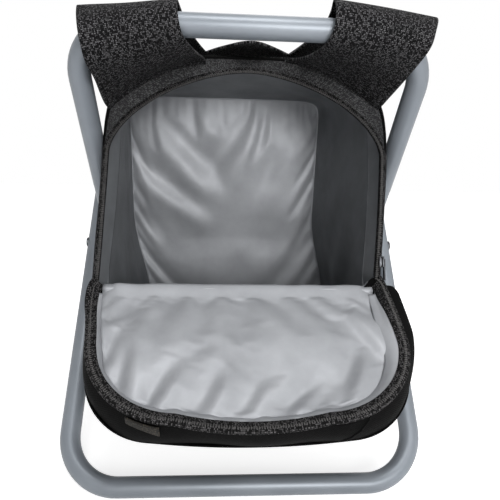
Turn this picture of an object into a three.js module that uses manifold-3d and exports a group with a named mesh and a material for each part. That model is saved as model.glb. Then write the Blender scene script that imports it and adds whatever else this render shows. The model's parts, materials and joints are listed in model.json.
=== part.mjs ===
import * as THREE from 'three';
import { mergeVertices } from 'three/addons/utils/BufferGeometryUtils.js';
import Module from 'manifold-3d';

// Folding cooler stool, in millimetres, Z up, front towards -Y.
// All pieces are placed about the pivot line, then the whole is centred over the floor.

// Frame
const TUBE_D = 19;
const TUBE_WALL = 1.2;
const TUBE_SIDES = 16;
const BEND_R = 50;
const BEND_STEPS = 6;
const BAR_REACH = 258;
const OPEN_HALF_ANGLE = THREE.MathUtils.degToRad(38);
const INNER_WIDTH = 310;
const SIDE_GAP = 3;
const CLEAR = 0.3;

// Pivot and tube-end hardware
const PIVOT_D = 6;
const PIVOT_HEAD_D = 12;
const PIVOT_HEAD = 1.5;
const WASHER_D = 14;
const WASHER_T = 0.8;
const CAP_D = 17;
const CAP_T = 3;
const CAP_WALL = 1.2;
const ROUND_SIDES = 24;
const PLUG_LENGTH = 70;
const PLUG_WALL = 1.4;
const END_GAP = 0.6;
const PIN_D = 4;
const PIN_HEAD_D = 7;
const PIN_HEAD = 1.2;
const PIN_OFFSET = 20;
const PIN_TAIL = 2;

// Bag body
const BAG_SIDE_ROOM = 2.8;
const BAG_BOTTOM = 66;
const BAG_BELOW_BARS = 8;
const ARCH_RISE = 84;
const BAG_CORNER_R = 22;
const BAG_FRONT = -132;
const BAG_BACK = 100;
const LIP_HEIGHT = 206;
const MOUTH_LEAN = THREE.MathUtils.degToRad(15);
const BACK_LEAN = THREE.MathUtils.degToRad(6);
const ARCH_POWER = 1.7;
const ARCH_STEPS = 18;
const SHELL_T = 1.5;
const FOAM_T = 5.5;
const LINER_T = 0.9;
const FLANGE_T = 2;
const MOUTH_RIM = 3.2;
const MOUTH_BELOW_CROWN = 13;
const MOUTH_RISE = 78;
const TAPE_T = 1.2;
const TAPE_BEHIND = 4;
const TAPE_AHEAD = 2.6;
const CHAIN_GAP = 1.8;

// Front flap
const FLAP_LENGTH = 146;
const FLAP_BULGE = 8;
const FLAP_CORNER_R = 60;
const FLAP_CORNER_PULL = 0.55;
const FLAP_CORNER_SWELL = 1;
const FLAP_ROOT = 3;
const FLAP_ROOT_DEPTH = 10;
const FLAP_END_DEPTH = 31;
const FLAP_FOAM_T = 5;
const FLAP_OPEN = THREE.MathUtils.degToRad(-122);
const FLAP_EDGE_AHEAD = 7;
const FLAP_EDGE_DROP = 1;
const FLAP_TAPE_WIDTH = 6;
const TAB_INSET = 39.5;
const TAB_WIDTH = 26;
const TAB_LENGTH = 21;
const TAB_T = 1.6;
const STRIP_T = 1.6;
const NOSE_LOW = 9.5;
const NOSE_HIGH = 4;

// Zipper slider
const SLIDER_LENGTH = 10;
const SLIDER_PLATE = 1.3;
const SLIDER_DEPTH = 5.4;
const SLIDER_START = 10;
const POST_T = 1;
const PULL_LENGTH = 17;
const PULL_T = 1;
const PULL_WIDTH = 5;
const PULL_PIN_D = 1.6;

// Seat cloth
const CLOTH_T = 2.4;
const SLEEVE_RISE = 4;
const SLEEVE_HALF_DEPTH = 13;
const SLEEVE_HALF_HEIGHT = 16.1;
const SLEEVE_T = 2;
const SLEEVE_WIDTH = 84;
const SLEEVE_END_ROOM = 7;
const SLEEVE_STEPS = 24;
const SEAT_OVER_BARS = 11;
const NOTCH_DEPTH = 62;
const NOTCH_TAPER = 22;
const NOTCH_SWELL = 18;
const SEAT_EDGE = 2;
const WEB_BAG_WIDTH = 73;
const WEB_BAG_EDGE = 15;
const WEB_SEAM = 10;
const WEB_STEPS = 6;
const WEB_SLACK = 6;
const WEB_OVER_BEND = 16;
const WEB_TUCK = 8;

// Values that follow from the sizes above
const TUBE_R = TUBE_D / 2;
const TUBE_CORNER_R = TUBE_R / Math.cos(Math.PI / TUBE_SIDES);
const BORE_R = TUBE_R - TUBE_WALL;
const OUTER_WIDTH = INNER_WIDTH + 2 * (TUBE_D + SIDE_GAP);
const PIVOT_HEIGHT = BAR_REACH * Math.cos(OPEN_HALF_ANGLE) + TUBE_R;
const BAR_Y = BAR_REACH * Math.sin(OPEN_HALF_ANGLE);
const BAR_TOP_Z = PIVOT_HEIGHT + BAR_REACH * Math.cos(OPEN_HALF_ANGLE);
const INNER_SIDE_X = INNER_WIDTH / 2 - TUBE_R;
const OUTER_SIDE_X = OUTER_WIDTH / 2 - TUBE_R;
const BAG_HALF_WIDTH = INNER_WIDTH / 2 - TUBE_D - BAG_SIDE_ROOM;
const BAG_CROWN = BAR_TOP_Z - BAG_BELOW_BARS;
const BAG_SHOULDER = BAG_CROWN - ARCH_RISE;
const MOUTH_HALF_WIDTH = BAG_HALF_WIDTH - MOUTH_RIM;
const MOUTH_CROWN = BAG_CROWN - MOUTH_BELOW_CROWN;
const MOUTH_SHOULDER = MOUTH_CROWN - MOUTH_RISE;
const FLAP_HALF_WIDTH = MOUTH_HALF_WIDTH + SHELL_T;
const TAB_LEFT = -FLAP_HALF_WIDTH + TAB_INSET;
const SLEEVE_OUTER_X = INNER_WIDTH / 2 - SLEEVE_END_ROOM;
const SLEEVE_INNER_X = SLEEVE_OUTER_X - SLEEVE_WIDTH;
const SEAT_TOP = BAR_TOP_Z + SEAT_OVER_BARS;
const SEAT_OUTER_X = SLEEVE_OUTER_X - SEAT_EDGE;
const NOTCH_HALF_WIDTH = SLEEVE_INNER_X - NOTCH_TAPER;
const WEB_BAG_OUTER_X = BAG_HALF_WIDTH - WEB_BAG_EDGE;
const WEB_BAG_INNER_X = WEB_BAG_OUTER_X - WEB_BAG_WIDTH;
const WEB_BAR_OUTER_X = INNER_SIDE_X - BEND_R + WEB_OVER_BEND;
const FAR = 600;

const STEEL = new THREE.MeshStandardMaterial({ color: 0xa9b0b8, roughness: 0.38, metalness: 0.35 });
const ZINC = new THREE.MeshStandardMaterial({ color: 0xb9bcc0, roughness: 0.35, metalness: 0.9 });
const BLACK_PLASTIC = new THREE.MeshStandardMaterial({ color: 0x17181a, roughness: 0.5, metalness: 0 });
const CLOTH = new THREE.MeshStandardMaterial({ color: 0x252426, roughness: 0.95, metalness: 0 });
const TAPE = new THREE.MeshStandardMaterial({ color: 0x1b1b1d, roughness: 0.9, metalness: 0 });
const SILVER = new THREE.MeshStandardMaterial({ color: 0x9c9ea2, roughness: 0.45, metalness: 0.3 });
const FOAM = new THREE.MeshStandardMaterial({ color: 0xe8e8e4, roughness: 0.95, metalness: 0 });

const wasm = await Module();
wasm.setup();
const group = new THREE.Group();
group.name = 'folding_cooler_stool';

// Solids from three.js geometry, and back

function toSolid(geometry) {
  const bare = geometry.clone();
  bare.deleteAttribute('normal');
  bare.deleteAttribute('uv');
  const merged = mergeVertices(bare, 1e-4);
  const mesh = new wasm.Mesh({
    numProp: 3,
    vertProperties: Float32Array.from(merged.attributes.position.array),
    triVerts: Uint32Array.from(merged.index.array),
  });
  mesh.merge();
  return new wasm.Manifold(mesh);
}

function toGeometry(solid) {
  const mesh = solid.getMesh();
  const geometry = new THREE.BufferGeometry();
  geometry.setAttribute('position', new THREE.BufferAttribute(Float32Array.from(mesh.vertProperties), 3));
  geometry.setIndex(Array.from(mesh.triVerts));
  geometry.computeVertexNormals();
  return geometry;
}

function cut(base, ...tools) {
  let result = base;
  for (const tool of tools) {
    result = result.subtract(tool);
  }
  return result;
}

function join(first, ...others) {
  let result = first;
  for (const other of others) {
    result = result.add(other);
  }
  return result;
}

function addPiece(name, shape, material, matrix = null) {
  const geometry = shape.isBufferGeometry ? shape.clone() : toGeometry(shape);
  if (matrix) {
    geometry.applyMatrix4(matrix);
  }
  const mesh = new THREE.Mesh(geometry, material);
  mesh.name = name;
  group.add(mesh);
  return mesh;
}

// Basic solids

function block(low, high) {
  const size = new THREE.Vector3().subVectors(high, low);
  const geometry = new THREE.BoxGeometry(size.x, size.y, size.z);
  geometry.translate((low.x + high.x) / 2, (low.y + high.y) / 2, (low.z + high.z) / 2);
  return toSolid(geometry);
}

function rodAlongX(radius, x0, x1, y, z, sides = ROUND_SIDES) {
  const geometry = new THREE.CylinderGeometry(radius, radius, Math.abs(x1 - x0), sides);
  geometry.rotateZ(Math.PI / 2);
  geometry.translate((x0 + x1) / 2, y, z);
  return toSolid(geometry);
}

function extrudeXY(shape, z0, z1, curveSegments = 8) {
  const geometry = new THREE.ExtrudeGeometry(shape, {
    depth: z1 - z0,
    bevelEnabled: false,
    curveSegments,
    steps: 1,
  });
  geometry.translate(0, 0, z0);
  return toSolid(geometry);
}

// A shape drawn in (X, Z), carried along Y
function extrudeAlongY(shape, y0, y1, curveSegments = 8) {
  const geometry = new THREE.ExtrudeGeometry(shape, {
    depth: y1 - y0,
    bevelEnabled: false,
    curveSegments,
    steps: 1,
  });
  geometry.rotateX(Math.PI / 2);
  geometry.translate(0, y1, 0);
  return toSolid(geometry);
}

// A shape drawn in (Y, Z), carried along X
function extrudeAlongX(shape, x0, x1, curveSegments = 8) {
  const geometry = new THREE.ExtrudeGeometry(shape, {
    depth: x1 - x0,
    bevelEnabled: false,
    curveSegments,
    steps: 1,
  });
  const turn = new THREE.Matrix4().makeBasis(
    new THREE.Vector3(0, 1, 0),
    new THREE.Vector3(0, 0, 1),
    new THREE.Vector3(1, 0, 0),
  );
  geometry.applyMatrix4(turn);
  geometry.translate(x0, 0, 0);
  return toSolid(geometry);
}

function polygon(points) {
  return new THREE.Shape(points.map(([u, v]) => new THREE.Vector2(u, v)));
}

// Loft through closed sections that all have the same number of points
function loft(sections) {
  const count = sections[0].length;
  const points = sections.flat();
  const index = [];
  for (let s = 0; s + 1 < sections.length; s += 1) {
    for (let p = 0; p < count; p += 1) {
      const a = s * count + p;
      const b = s * count + ((p + 1) % count);
      index.push(a, b, b + count);
      index.push(a, b + count, a + count);
    }
  }
  const contour = sections[0].map((_, p) => {
    const lower = p < count / 2;
    return new THREE.Vector2(lower ? p : count - 1 - p, lower ? 0 : 1);
  });
  const faces = THREE.ShapeUtils.triangulateShape(contour, []);
  const last = (sections.length - 1) * count;
  for (const [a, b, c] of faces) {
    index.push(c, b, a);
    index.push(last + a, last + b, last + c);
  }
  const geometry = new THREE.BufferGeometry();
  geometry.setFromPoints(points);
  geometry.setIndex(index);
  let solid = toSolid(geometry);
  if (solid.volume() < 0) {
    geometry.setIndex(index.reverse());
    solid = toSolid(geometry);
  }
  return solid;
}

// Bent tube: a path that is sampled only where it bends

class TubePath extends THREE.Curve {
  constructor(stations, tangents) {
    super();
    this.stations = stations;
    this.tangents = tangents;
  }

  at(list, u) {
    const last = list.length - 1;
    return list[Math.round(u * last)].clone();
  }

  getPointAt(u) {
    return this.at(this.stations, u);
  }

  getTangentAt(u) {
    return this.at(this.tangents, u);
  }
}

// Loop in its own plane: u to the right, v up, starting and ending in the middle of the bar at startV
function loopPath(halfWidth, startV, endV) {
  const stations = [];
  const tangents = [];
  const sign = Math.sign(endV - startV);
  const push = (u, v, tu, tv) => {
    stations.push(new THREE.Vector3(u, v, 0));
    tangents.push(new THREE.Vector3(tu, tv, 0).normalize());
  };
  const corner = (cu, cv, from) => {
    for (let i = 0; i <= BEND_STEPS; i += 1) {
      const angle = from + (i / BEND_STEPS) * (Math.PI / 2);
      const u = cu + BEND_R * Math.cos(angle);
      const v = cv + sign * BEND_R * Math.sin(angle);
      push(u, v, -Math.sin(angle), sign * Math.cos(angle));
    }
  };
  const reach = halfWidth - BEND_R;
  const low = startV + sign * BEND_R;
  const high = endV - sign * BEND_R;
  push(END_GAP / 2, startV, 1, 0);
  corner(reach, low, -Math.PI / 2);
  corner(reach, high, 0);
  corner(-reach, high, Math.PI / 2);
  corner(-reach, low, Math.PI);
  push(-END_GAP / 2, startV, 1, 0);
  return new TubePath(stations, tangents);
}

function ringShape(cornerRadius, boreRadius, turn) {
  const point = (radius, i) => {
    const angle = turn + ((i + 0.5) / TUBE_SIDES) * 2 * Math.PI;
    return new THREE.Vector2(radius * Math.cos(angle), radius * Math.sin(angle));
  };
  const ring = (radius) => Array.from({ length: TUBE_SIDES }, (_, i) => point(radius, i));
  const shape = new THREE.Shape(ring(cornerRadius));
  shape.holes.push(new THREE.Path(ring(boreRadius)));
  return shape;
}

function tubeLoop(halfWidth, startV, endV, turn) {
  const path = loopPath(halfWidth, startV, endV);
  const geometry = new THREE.ExtrudeGeometry(ringShape(TUBE_CORNER_R, BORE_R, turn), {
    extrudePath: path,
    steps: path.stations.length - 1,
    bevelEnabled: false,
  });
  return toSolid(geometry);
}

// Loop plane to stool: lean is the turn about the pivot line away from upright
function loopMatrix(lean) {
  const matrix = new THREE.Matrix4().makeBasis(
    new THREE.Vector3(1, 0, 0),
    new THREE.Vector3(0, Math.sin(lean), Math.cos(lean)),
    new THREE.Vector3(0, -Math.cos(lean), Math.sin(lean)),
  );
  matrix.setPosition(0, 0, PIVOT_HEIGHT);
  return matrix;
}

function addFrame(name, sideX, lean, startV) {
  let tube = tubeLoop(sideX, startV, -startV, Math.PI / 2 - OPEN_HALF_ANGLE);
  const boltHole = rodAlongX(PIVOT_D / 2 + CLEAR, -FAR, FAR, 0, 0);
  tube = cut(tube, boltHole);
  const plugGeometry = new THREE.ExtrudeGeometry(
    ringShape(BORE_R - CLEAR, BORE_R - CLEAR - PLUG_WALL, 0),
    { depth: PLUG_LENGTH, bevelEnabled: false, steps: 1 },
  );
  plugGeometry.translate(0, 0, -PLUG_LENGTH / 2);
  plugGeometry.rotateY(Math.PI / 2);
  plugGeometry.translate(0, startV, 0);
  let plug = toSolid(plugGeometry);
  const out = Math.sign(startV);
  const matrix = loopMatrix(lean);
  for (const side of [-1, 1]) {
    const x = side * PIN_OFFSET;
    const holeR = PIN_D / 2 + CLEAR;
    const pinHole = new THREE.CylinderGeometry(holeR, holeR, TUBE_R * 2, ROUND_SIDES / 2);
    pinHole.translate(x, startV - out * TUBE_R, 0);
    const hole = toSolid(pinHole);
    tube = cut(tube, hole);
    plug = cut(plug, hole);
    const tip = startV - out * (BORE_R + TUBE_WALL + CLEAR);
    const grip = TUBE_WALL + PLUG_WALL + PIN_TAIL;
    const shank = new THREE.CylinderGeometry(PIN_D / 2, PIN_D / 2, grip, ROUND_SIDES / 2);
    shank.translate(x, tip + out * (grip / 2 - CLEAR), 0);
    const head = new THREE.CylinderGeometry(PIN_HEAD_D / 2, PIN_HEAD_D / 2, PIN_HEAD, ROUND_SIDES / 2);
    head.translate(x, tip - (out * PIN_HEAD) / 2, 0);
    const pin = join(toSolid(shank), toSolid(head));
    addPiece(`${name}_joint_rivet_${side < 0 ? 'left' : 'right'}`, pin, ZINC, matrix);
  }
  addPiece(`${name}_frame_tube`, tube, STEEL, matrix);
  addPiece(`${name}_joint_sleeve`, plug, ZINC, matrix);
}

addFrame('outer', OUTER_SIDE_X, OPEN_HALF_ANGLE, BAR_REACH);
addFrame('inner', INNER_SIDE_X, -OPEN_HALF_ANGLE, -BAR_REACH);

// Pivot hardware, outside to inside: cap, rivet head, outer tube, spacer, inner tube, washer, clinched head

function addPivot(side) {
  const label = side < 0 ? 'left' : 'right';
  const along = (radius, a, b) => rodAlongX(radius, side * a, side * b, 0, PIVOT_HEIGHT);
  const outerFace = OUTER_WIDTH / 2;
  const innerFace = INNER_WIDTH / 2 - TUBE_D;
  const spacerIn = INNER_WIDTH / 2 + CLEAR;
  const spacerOut = outerFace - TUBE_D - CLEAR;
  const headIn = outerFace + CLEAR;
  const washerOut = innerFace - CLEAR;
  const clinchOut = washerOut - WASHER_T - CLEAR;
  const clinchIn = clinchOut - PIVOT_HEAD / 2;
  const rivet = join(
    along(PIVOT_HEAD_D / 2, headIn, headIn + PIVOT_HEAD),
    along(PIVOT_D / 2, clinchIn, headIn + PIVOT_HEAD / 2),
    along(PIVOT_HEAD_D / 2, clinchIn, clinchOut),
  );
  addPiece(`pivot_rivet_${label}`, rivet, ZINC);
  const hole = along(PIVOT_D / 2 + CLEAR, 0, FAR);
  addPiece(`pivot_spacer_${label}`, cut(along(WASHER_D / 2, spacerIn, spacerOut), hole), BLACK_PLASTIC);
  const washer = along(PIVOT_HEAD_D / 2, washerOut - WASHER_T, washerOut);
  addPiece(`pivot_washer_${label}`, cut(washer, hole), ZINC);
  const capOut = headIn + CAP_T;
  const cap = cut(
    along(CAP_D / 2, headIn, capOut),
    along(PIVOT_HEAD_D / 2 + CLEAR, 0, capOut - CAP_WALL),
  );
  addPiece(`pivot_cap_${label}`, cap, BLACK_PLASTIC);
}

addPivot(-1);
addPivot(1);

// Bag outlines: an arch in (X, Z) and a side profile in (Y, Z)

function archPoints(halfWidth, shoulder, crown) {
  const points = [];
  for (let i = 0; i <= ARCH_STEPS; i += 1) {
    const angle = (i / ARCH_STEPS) * Math.PI;
    const c = Math.cos(angle);
    const x = halfWidth * Math.sign(c) * Math.abs(c) ** (2 / ARCH_POWER);
    const z = shoulder + (crown - shoulder) * Math.sin(angle) ** (2 / ARCH_POWER);
    points.push([x, z]);
  }
  return points;
}

function bagOutline(inset) {
  const half = BAG_HALF_WIDTH - inset;
  const bottom = BAG_BOTTOM + inset;
  const corner = BAG_CORNER_R - inset;
  const shape = new THREE.Shape();
  shape.moveTo(-half + corner, bottom);
  shape.lineTo(half - corner, bottom);
  shape.quadraticCurveTo(half, bottom, half, bottom + corner);
  for (const [x, z] of archPoints(half, BAG_SHOULDER, BAG_CROWN - inset)) {
    shape.lineTo(x, z);
  }
  shape.lineTo(-half, bottom + corner);
  shape.quadraticCurveTo(-half, bottom, -half + corner, bottom);
  return shape;
}

function mouthOutline(inset) {
  const half = MOUTH_HALF_WIDTH - inset;
  const points = archPoints(half, MOUTH_SHOULDER, MOUTH_CROWN - inset);
  return polygon([[half, LIP_HEIGHT], ...points, [-half, LIP_HEIGHT]]);
}

function mouthY(z, ahead = 0) {
  return BAG_FRONT + (z - LIP_HEIGHT) * Math.tan(MOUTH_LEAN) - ahead / Math.cos(MOUTH_LEAN);
}

function backY(z) {
  return BAG_BACK - Math.max(z - LIP_HEIGHT, 0) * Math.tan(BACK_LEAN);
}

function bagSide(inset, mouthInset) {
  return polygon([
    [BAG_FRONT + inset, 0],
    [BAG_FRONT + inset, LIP_HEIGHT],
    [mouthY(LIP_HEIGHT, -mouthInset), LIP_HEIGHT],
    [mouthY(FAR, -mouthInset), FAR],
    [backY(FAR) - inset, FAR],
    [BAG_BACK - inset, LIP_HEIGHT],
    [BAG_BACK - inset, 0],
  ]);
}

function bagSolid(inset, mouthInset) {
  const arch = extrudeAlongY(bagOutline(inset), -FAR, FAR);
  return arch.intersect(extrudeAlongX(bagSide(inset, mouthInset), -FAR, FAR));
}

function behindMouth(inset) {
  return polygon([
    [mouthY(0, -inset), 0],
    [mouthY(FAR, -inset), FAR],
    [FAR, FAR],
    [FAR, 0],
  ]);
}

// Everything above the lip and in front of the bag's middle, inside an arch outline
function mouthCutter(shape) {
  return extrudeAlongY(shape, -FAR, 0);
}

function aboveLip(drop) {
  return block(new THREE.Vector3(-FAR, -FAR, LIP_HEIGHT - drop), new THREE.Vector3(FAR, 0, FAR));
}

const foamOut = SHELL_T + CLEAR;
const linerOut = foamOut + FOAM_T + CLEAR;
const linerIn = linerOut + LINER_T;
const tapeBack = TAPE_BEHIND + CLEAR;

const shellSolid = cut(
  bagSolid(0, 0),
  bagSolid(SHELL_T, FLANGE_T),
  mouthCutter(mouthOutline(0)),
);
addPiece('bag_shell', shellSolid, CLOTH);

function openLayer(outerInset, innerInset) {
  const behind = extrudeAlongX(behindMouth(tapeBack), -FAR, FAR);
  const outer = bagSolid(outerInset, tapeBack).intersect(behind);
  const opening = extrudeAlongY(bagOutline(innerInset), -FAR, 0).intersect(aboveLip(SHELL_T));
  return cut(outer, bagSolid(innerInset, tapeBack), opening);
}

addPiece('bag_insulation', openLayer(foamOut, linerOut - CLEAR), FOAM);
addPiece('bag_liner', openLayer(linerOut, linerIn), SILVER);

// Mouth zipper tape, standing in the wall of the mouth

function slab(behind, ahead) {
  const front = ahead;
  return extrudeAlongX(polygon([
    [mouthY(LIP_HEIGHT, front), LIP_HEIGHT],
    [mouthY(FAR, front), FAR],
    [mouthY(FAR, -behind), FAR],
    [mouthY(LIP_HEIGHT, -behind), LIP_HEIGHT],
  ]), -FAR, FAR);
}

const tapeRing = cut(
  extrudeAlongY(mouthOutline(CLEAR), -FAR, FAR),
  extrudeAlongY(mouthOutline(CLEAR + TAPE_T), -FAR, FAR),
).intersect(slab(TAPE_BEHIND, TAPE_AHEAD));
addPiece('mouth_zipper_tape', tapeRing, TAPE);

// Front flap, drawn in its own frame: x across, s from hinge to free edge, n outward

const flapEdgeY = BAG_FRONT - FLAP_EDGE_AHEAD;
const flapEdgeZ = LIP_HEIGHT - FLAP_EDGE_DROP;

function planeMatrix(angle, y, z) {
  const matrix = new THREE.Matrix4().makeBasis(
    new THREE.Vector3(1, 0, 0),
    new THREE.Vector3(0, Math.sin(angle), Math.cos(angle)),
    new THREE.Vector3(0, -Math.cos(angle), Math.sin(angle)),
  );
  matrix.setPosition(0, y, z);
  return matrix;
}

const flapMatrix = planeMatrix(FLAP_OPEN, flapEdgeY, flapEdgeZ);
const mouthMatrix = planeMatrix(MOUTH_LEAN, BAG_FRONT, LIP_HEIGHT);

function flapOutline(inset, rootInset = inset) {
  const half = FLAP_HALF_WIDTH - inset;
  const corner = FLAP_CORNER_R - inset;
  const end = FLAP_LENGTH - inset;
  const pull = corner * (1 - FLAP_CORNER_PULL);
  const swell = end + FLAP_CORNER_SWELL;
  const middle = end + 2 * FLAP_BULGE - FLAP_CORNER_SWELL;
  const shape = new THREE.Shape();
  shape.moveTo(-half, FLAP_ROOT + rootInset);
  shape.lineTo(half, FLAP_ROOT + rootInset);
  shape.lineTo(half, end - corner);
  shape.bezierCurveTo(half, end - pull, half - pull, end, half - corner, swell);
  shape.quadraticCurveTo(0, middle, -half + corner, swell);
  shape.bezierCurveTo(-half + pull, end, -half, end - pull, -half, end - corner);
  return shape;
}

function flapDepth(s) {
  return FLAP_ROOT_DEPTH + ((FLAP_END_DEPTH - FLAP_ROOT_DEPTH) * s) / FLAP_LENGTH;
}

// Between n = top and the panel's outer face less under
function flapWedge(top, under) {
  const last = FLAP_LENGTH + 2 * FLAP_BULGE;
  return extrudeAlongX(polygon([
    [0, top],
    [last, top],
    [last, flapDepth(last) - under],
    [0, flapDepth(0) - under],
  ]), -FAR, FAR);
}

// Between two depths above the panel's outer face
function flapLayer(above, under) {
  const last = FLAP_LENGTH + 2 * FLAP_BULGE;
  return extrudeAlongX(polygon([
    [0, flapDepth(0) - above],
    [last, flapDepth(last) - above],
    [last, flapDepth(last) - under],
    [0, flapDepth(0) - under],
  ]), -FAR, FAR);
}

function flapPrism(inset, rootInset = inset) {
  return extrudeXY(flapOutline(inset, rootInset), -FAR, FAR);
}

const rimTop = TAPE_AHEAD;
const foamTop = SHELL_T + CLEAR + FLAP_FOAM_T;
const trayOut = SHELL_T + CLEAR;
const flapShell = cut(
  flapPrism(0).intersect(flapWedge(rimTop, 0)),
  flapPrism(SHELL_T).intersect(flapWedge(-FAR, SHELL_T)),
);
addPiece('flap_shell', flapShell, CLOTH, flapMatrix);
const flapFoam = flapPrism(trayOut).intersect(flapLayer(foamTop, SHELL_T + CLEAR));
addPiece('flap_insulation', flapFoam, FOAM, flapMatrix);
const linerFloor = foamTop + CLEAR + LINER_T;
const tapeInset = trayOut + TAPE_T + CLEAR;
const flapLiner = cut(
  flapPrism(tapeInset, trayOut).intersect(flapWedge(rimTop - CLEAR, foamTop + CLEAR)),
  flapPrism(tapeInset + LINER_T, trayOut + LINER_T).intersect(flapWedge(-FAR, linerFloor)),
);
addPiece('flap_liner', flapLiner, SILVER, flapMatrix);

const flapTape = cut(
  flapPrism(trayOut),
  flapPrism(trayOut + TAPE_T, -FLAP_LENGTH),
).intersect(extrudeAlongX(polygon([
  [FLAP_ROOT + FLAP_TAPE_WIDTH, 0],
  [FLAP_LENGTH * 2, 0],
  [FLAP_LENGTH * 2, FLAP_TAPE_WIDTH],
  [FLAP_ROOT + FLAP_LENGTH / 3, FLAP_TAPE_WIDTH],
  [FLAP_ROOT + FLAP_TAPE_WIDTH, rimTop],
]), -FAR, FAR));
addPiece('flap_zipper_tape', flapTape, TAPE, flapMatrix);

const tabWindow = block(
  new THREE.Vector3(TAB_LEFT, FLAP_LENGTH / 2, rimTop),
  new THREE.Vector3(TAB_LEFT + TAB_WIDTH, FLAP_LENGTH * 2, rimTop + TAB_LENGTH),
);
const tab = cut(flapPrism(-CLEAR - TAB_T), flapPrism(-CLEAR)).intersect(tabWindow);
addPiece('pull_tab', tab, TAPE, flapMatrix);

// Hinge strip: cloth turned over the lip of the tub, from the liner to the flap

const stripHalf = BAG_HALF_WIDTH - linerIn - CLEAR;
const noseLow = new THREE.Vector3(0, FLAP_ROOT - CLEAR, NOSE_LOW).applyMatrix4(flapMatrix);
const noseHigh = new THREE.Vector3(0, FLAP_ROOT - CLEAR, NOSE_HIGH).applyMatrix4(flapMatrix);
const stripSection = polygon([
  [BAG_FRONT - CLEAR, noseLow.z],
  [BAG_FRONT - CLEAR, LIP_HEIGHT + CLEAR],
  [BAG_FRONT + linerIn, LIP_HEIGHT + CLEAR],
  [BAG_FRONT + linerIn, LIP_HEIGHT + CLEAR + STRIP_T],
  [BAG_FRONT - CLEAR - STRIP_T, LIP_HEIGHT + CLEAR + STRIP_T],
  [noseHigh.y, noseHigh.z],
  [noseLow.y, noseLow.z],
]);
addPiece('hinge_strip', extrudeAlongX(stripSection, -stripHalf, stripHalf), CLOTH);

// Zipper slider and pull, drawn in the mouth's frame

const tapeOuterX = MOUTH_HALF_WIDTH - CLEAR;
const tapeInnerX = tapeOuterX - TAPE_T;
const chainMiddle = TAPE_AHEAD + CHAIN_GAP / 2;
const sliderLow = chainMiddle - SLIDER_DEPTH / 2;
const sliderHigh = chainMiddle + SLIDER_DEPTH / 2;

function mouthBlock(x0, x1, s0, s1, n0, n1) {
  return block(new THREE.Vector3(x0, s0, n0), new THREE.Vector3(x1, s1, n1));
}

const sliderInX = tapeInnerX - CLEAR;
const sliderOutX = tapeOuterX + CLEAR;
const sliderEnd = SLIDER_START + SLIDER_LENGTH;
const pinS = SLIDER_START + SLIDER_LENGTH / 2;
const pullOut = sliderOutX + SLIDER_PLATE + CLEAR;
const pinEnd = pullOut + PULL_T + CLEAR;
const pinRod = rodAlongX(PULL_PIN_D / 2, sliderOutX, pinEnd, pinS, chainMiddle, ROUND_SIDES / 2);
const slider = join(
  mouthBlock(sliderInX - SLIDER_PLATE, sliderInX, SLIDER_START, sliderEnd, sliderLow, sliderHigh),
  mouthBlock(sliderOutX, sliderOutX + SLIDER_PLATE, SLIDER_START, sliderEnd, sliderLow, sliderHigh),
  mouthBlock(
    sliderInX - SLIDER_PLATE / 2,
    sliderOutX + SLIDER_PLATE / 2,
    SLIDER_START + SLIDER_PLATE,
    sliderEnd - SLIDER_PLATE,
    chainMiddle - POST_T / 2,
    chainMiddle + POST_T / 2,
  ),
  pinRod,
);
addPiece('zipper_slider', slider, ZINC, mouthMatrix);
const pullPlate = mouthBlock(
  pullOut,
  pullOut + PULL_T,
  pinS - PULL_LENGTH,
  pinS + PULL_WIDTH / 2,
  chainMiddle - PULL_WIDTH / 2,
  chainMiddle + PULL_WIDTH / 2,
);
const pullHole = rodAlongX(PULL_PIN_D / 2 + CLEAR, 0, FAR, pinS, chainMiddle, ROUND_SIDES / 2);
addPiece('zipper_pull', cut(pullPlate, pullHole), ZINC, mouthMatrix);

// Seat cloth: pockets round the bars, the sling between them and the wings that carry the bag

function ellipse(halfDepth, halfHeight, y, z) {
  const shape = new THREE.Shape();
  shape.absellipse(y, z, halfDepth, halfHeight, 0, 2 * Math.PI, false, 0);
  return shape;
}

function pocket(end, grow, x0, x1) {
  const z = BAR_TOP_Z + SLEEVE_RISE;
  const shape = ellipse(SLEEVE_HALF_DEPTH + grow, SLEEVE_HALF_HEIGHT + grow, end * BAR_Y, z);
  return extrudeAlongX(shape, x0, x1, SLEEVE_STEPS);
}

// A loop with a little room round it, for cloth that lies on its bends
function loopRoom(halfWidth, startV, lean) {
  const path = loopPath(halfWidth, startV, -startV);
  const outline = ringShape(TUBE_CORNER_R + CLEAR, BORE_R, 0);
  outline.holes = [];
  const geometry = new THREE.ExtrudeGeometry(outline, {
    extrudePath: path,
    steps: path.stations.length - 1,
    bevelEnabled: false,
  });
  geometry.applyMatrix4(loopMatrix(lean));
  return toSolid(geometry);
}

const frontRoom = loopRoom(INNER_SIDE_X, -BAR_REACH, -OPEN_HALF_ANGLE);
const rearRoom = loopRoom(OUTER_SIDE_X, -BAR_REACH, OPEN_HALF_ANGLE);

function addSleeve(name, end, side) {
  const x0 = side < 0 ? -SLEEVE_OUTER_X : SLEEVE_INNER_X;
  const x1 = side < 0 ? -SLEEVE_INNER_X : SLEEVE_OUTER_X;
  const ring = cut(pocket(end, 0, x0, x1), pocket(end, -SLEEVE_T, -FAR, FAR));
  addPiece(name, cut(ring, end < 0 ? frontRoom : rearRoom), CLOTH);
}

addSleeve('front_sleeve_left', -1, -1);
addSleeve('front_sleeve_right', -1, 1);
addSleeve('rear_sleeve_left', 1, -1);
addSleeve('rear_sleeve_right', 1, 1);

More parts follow.
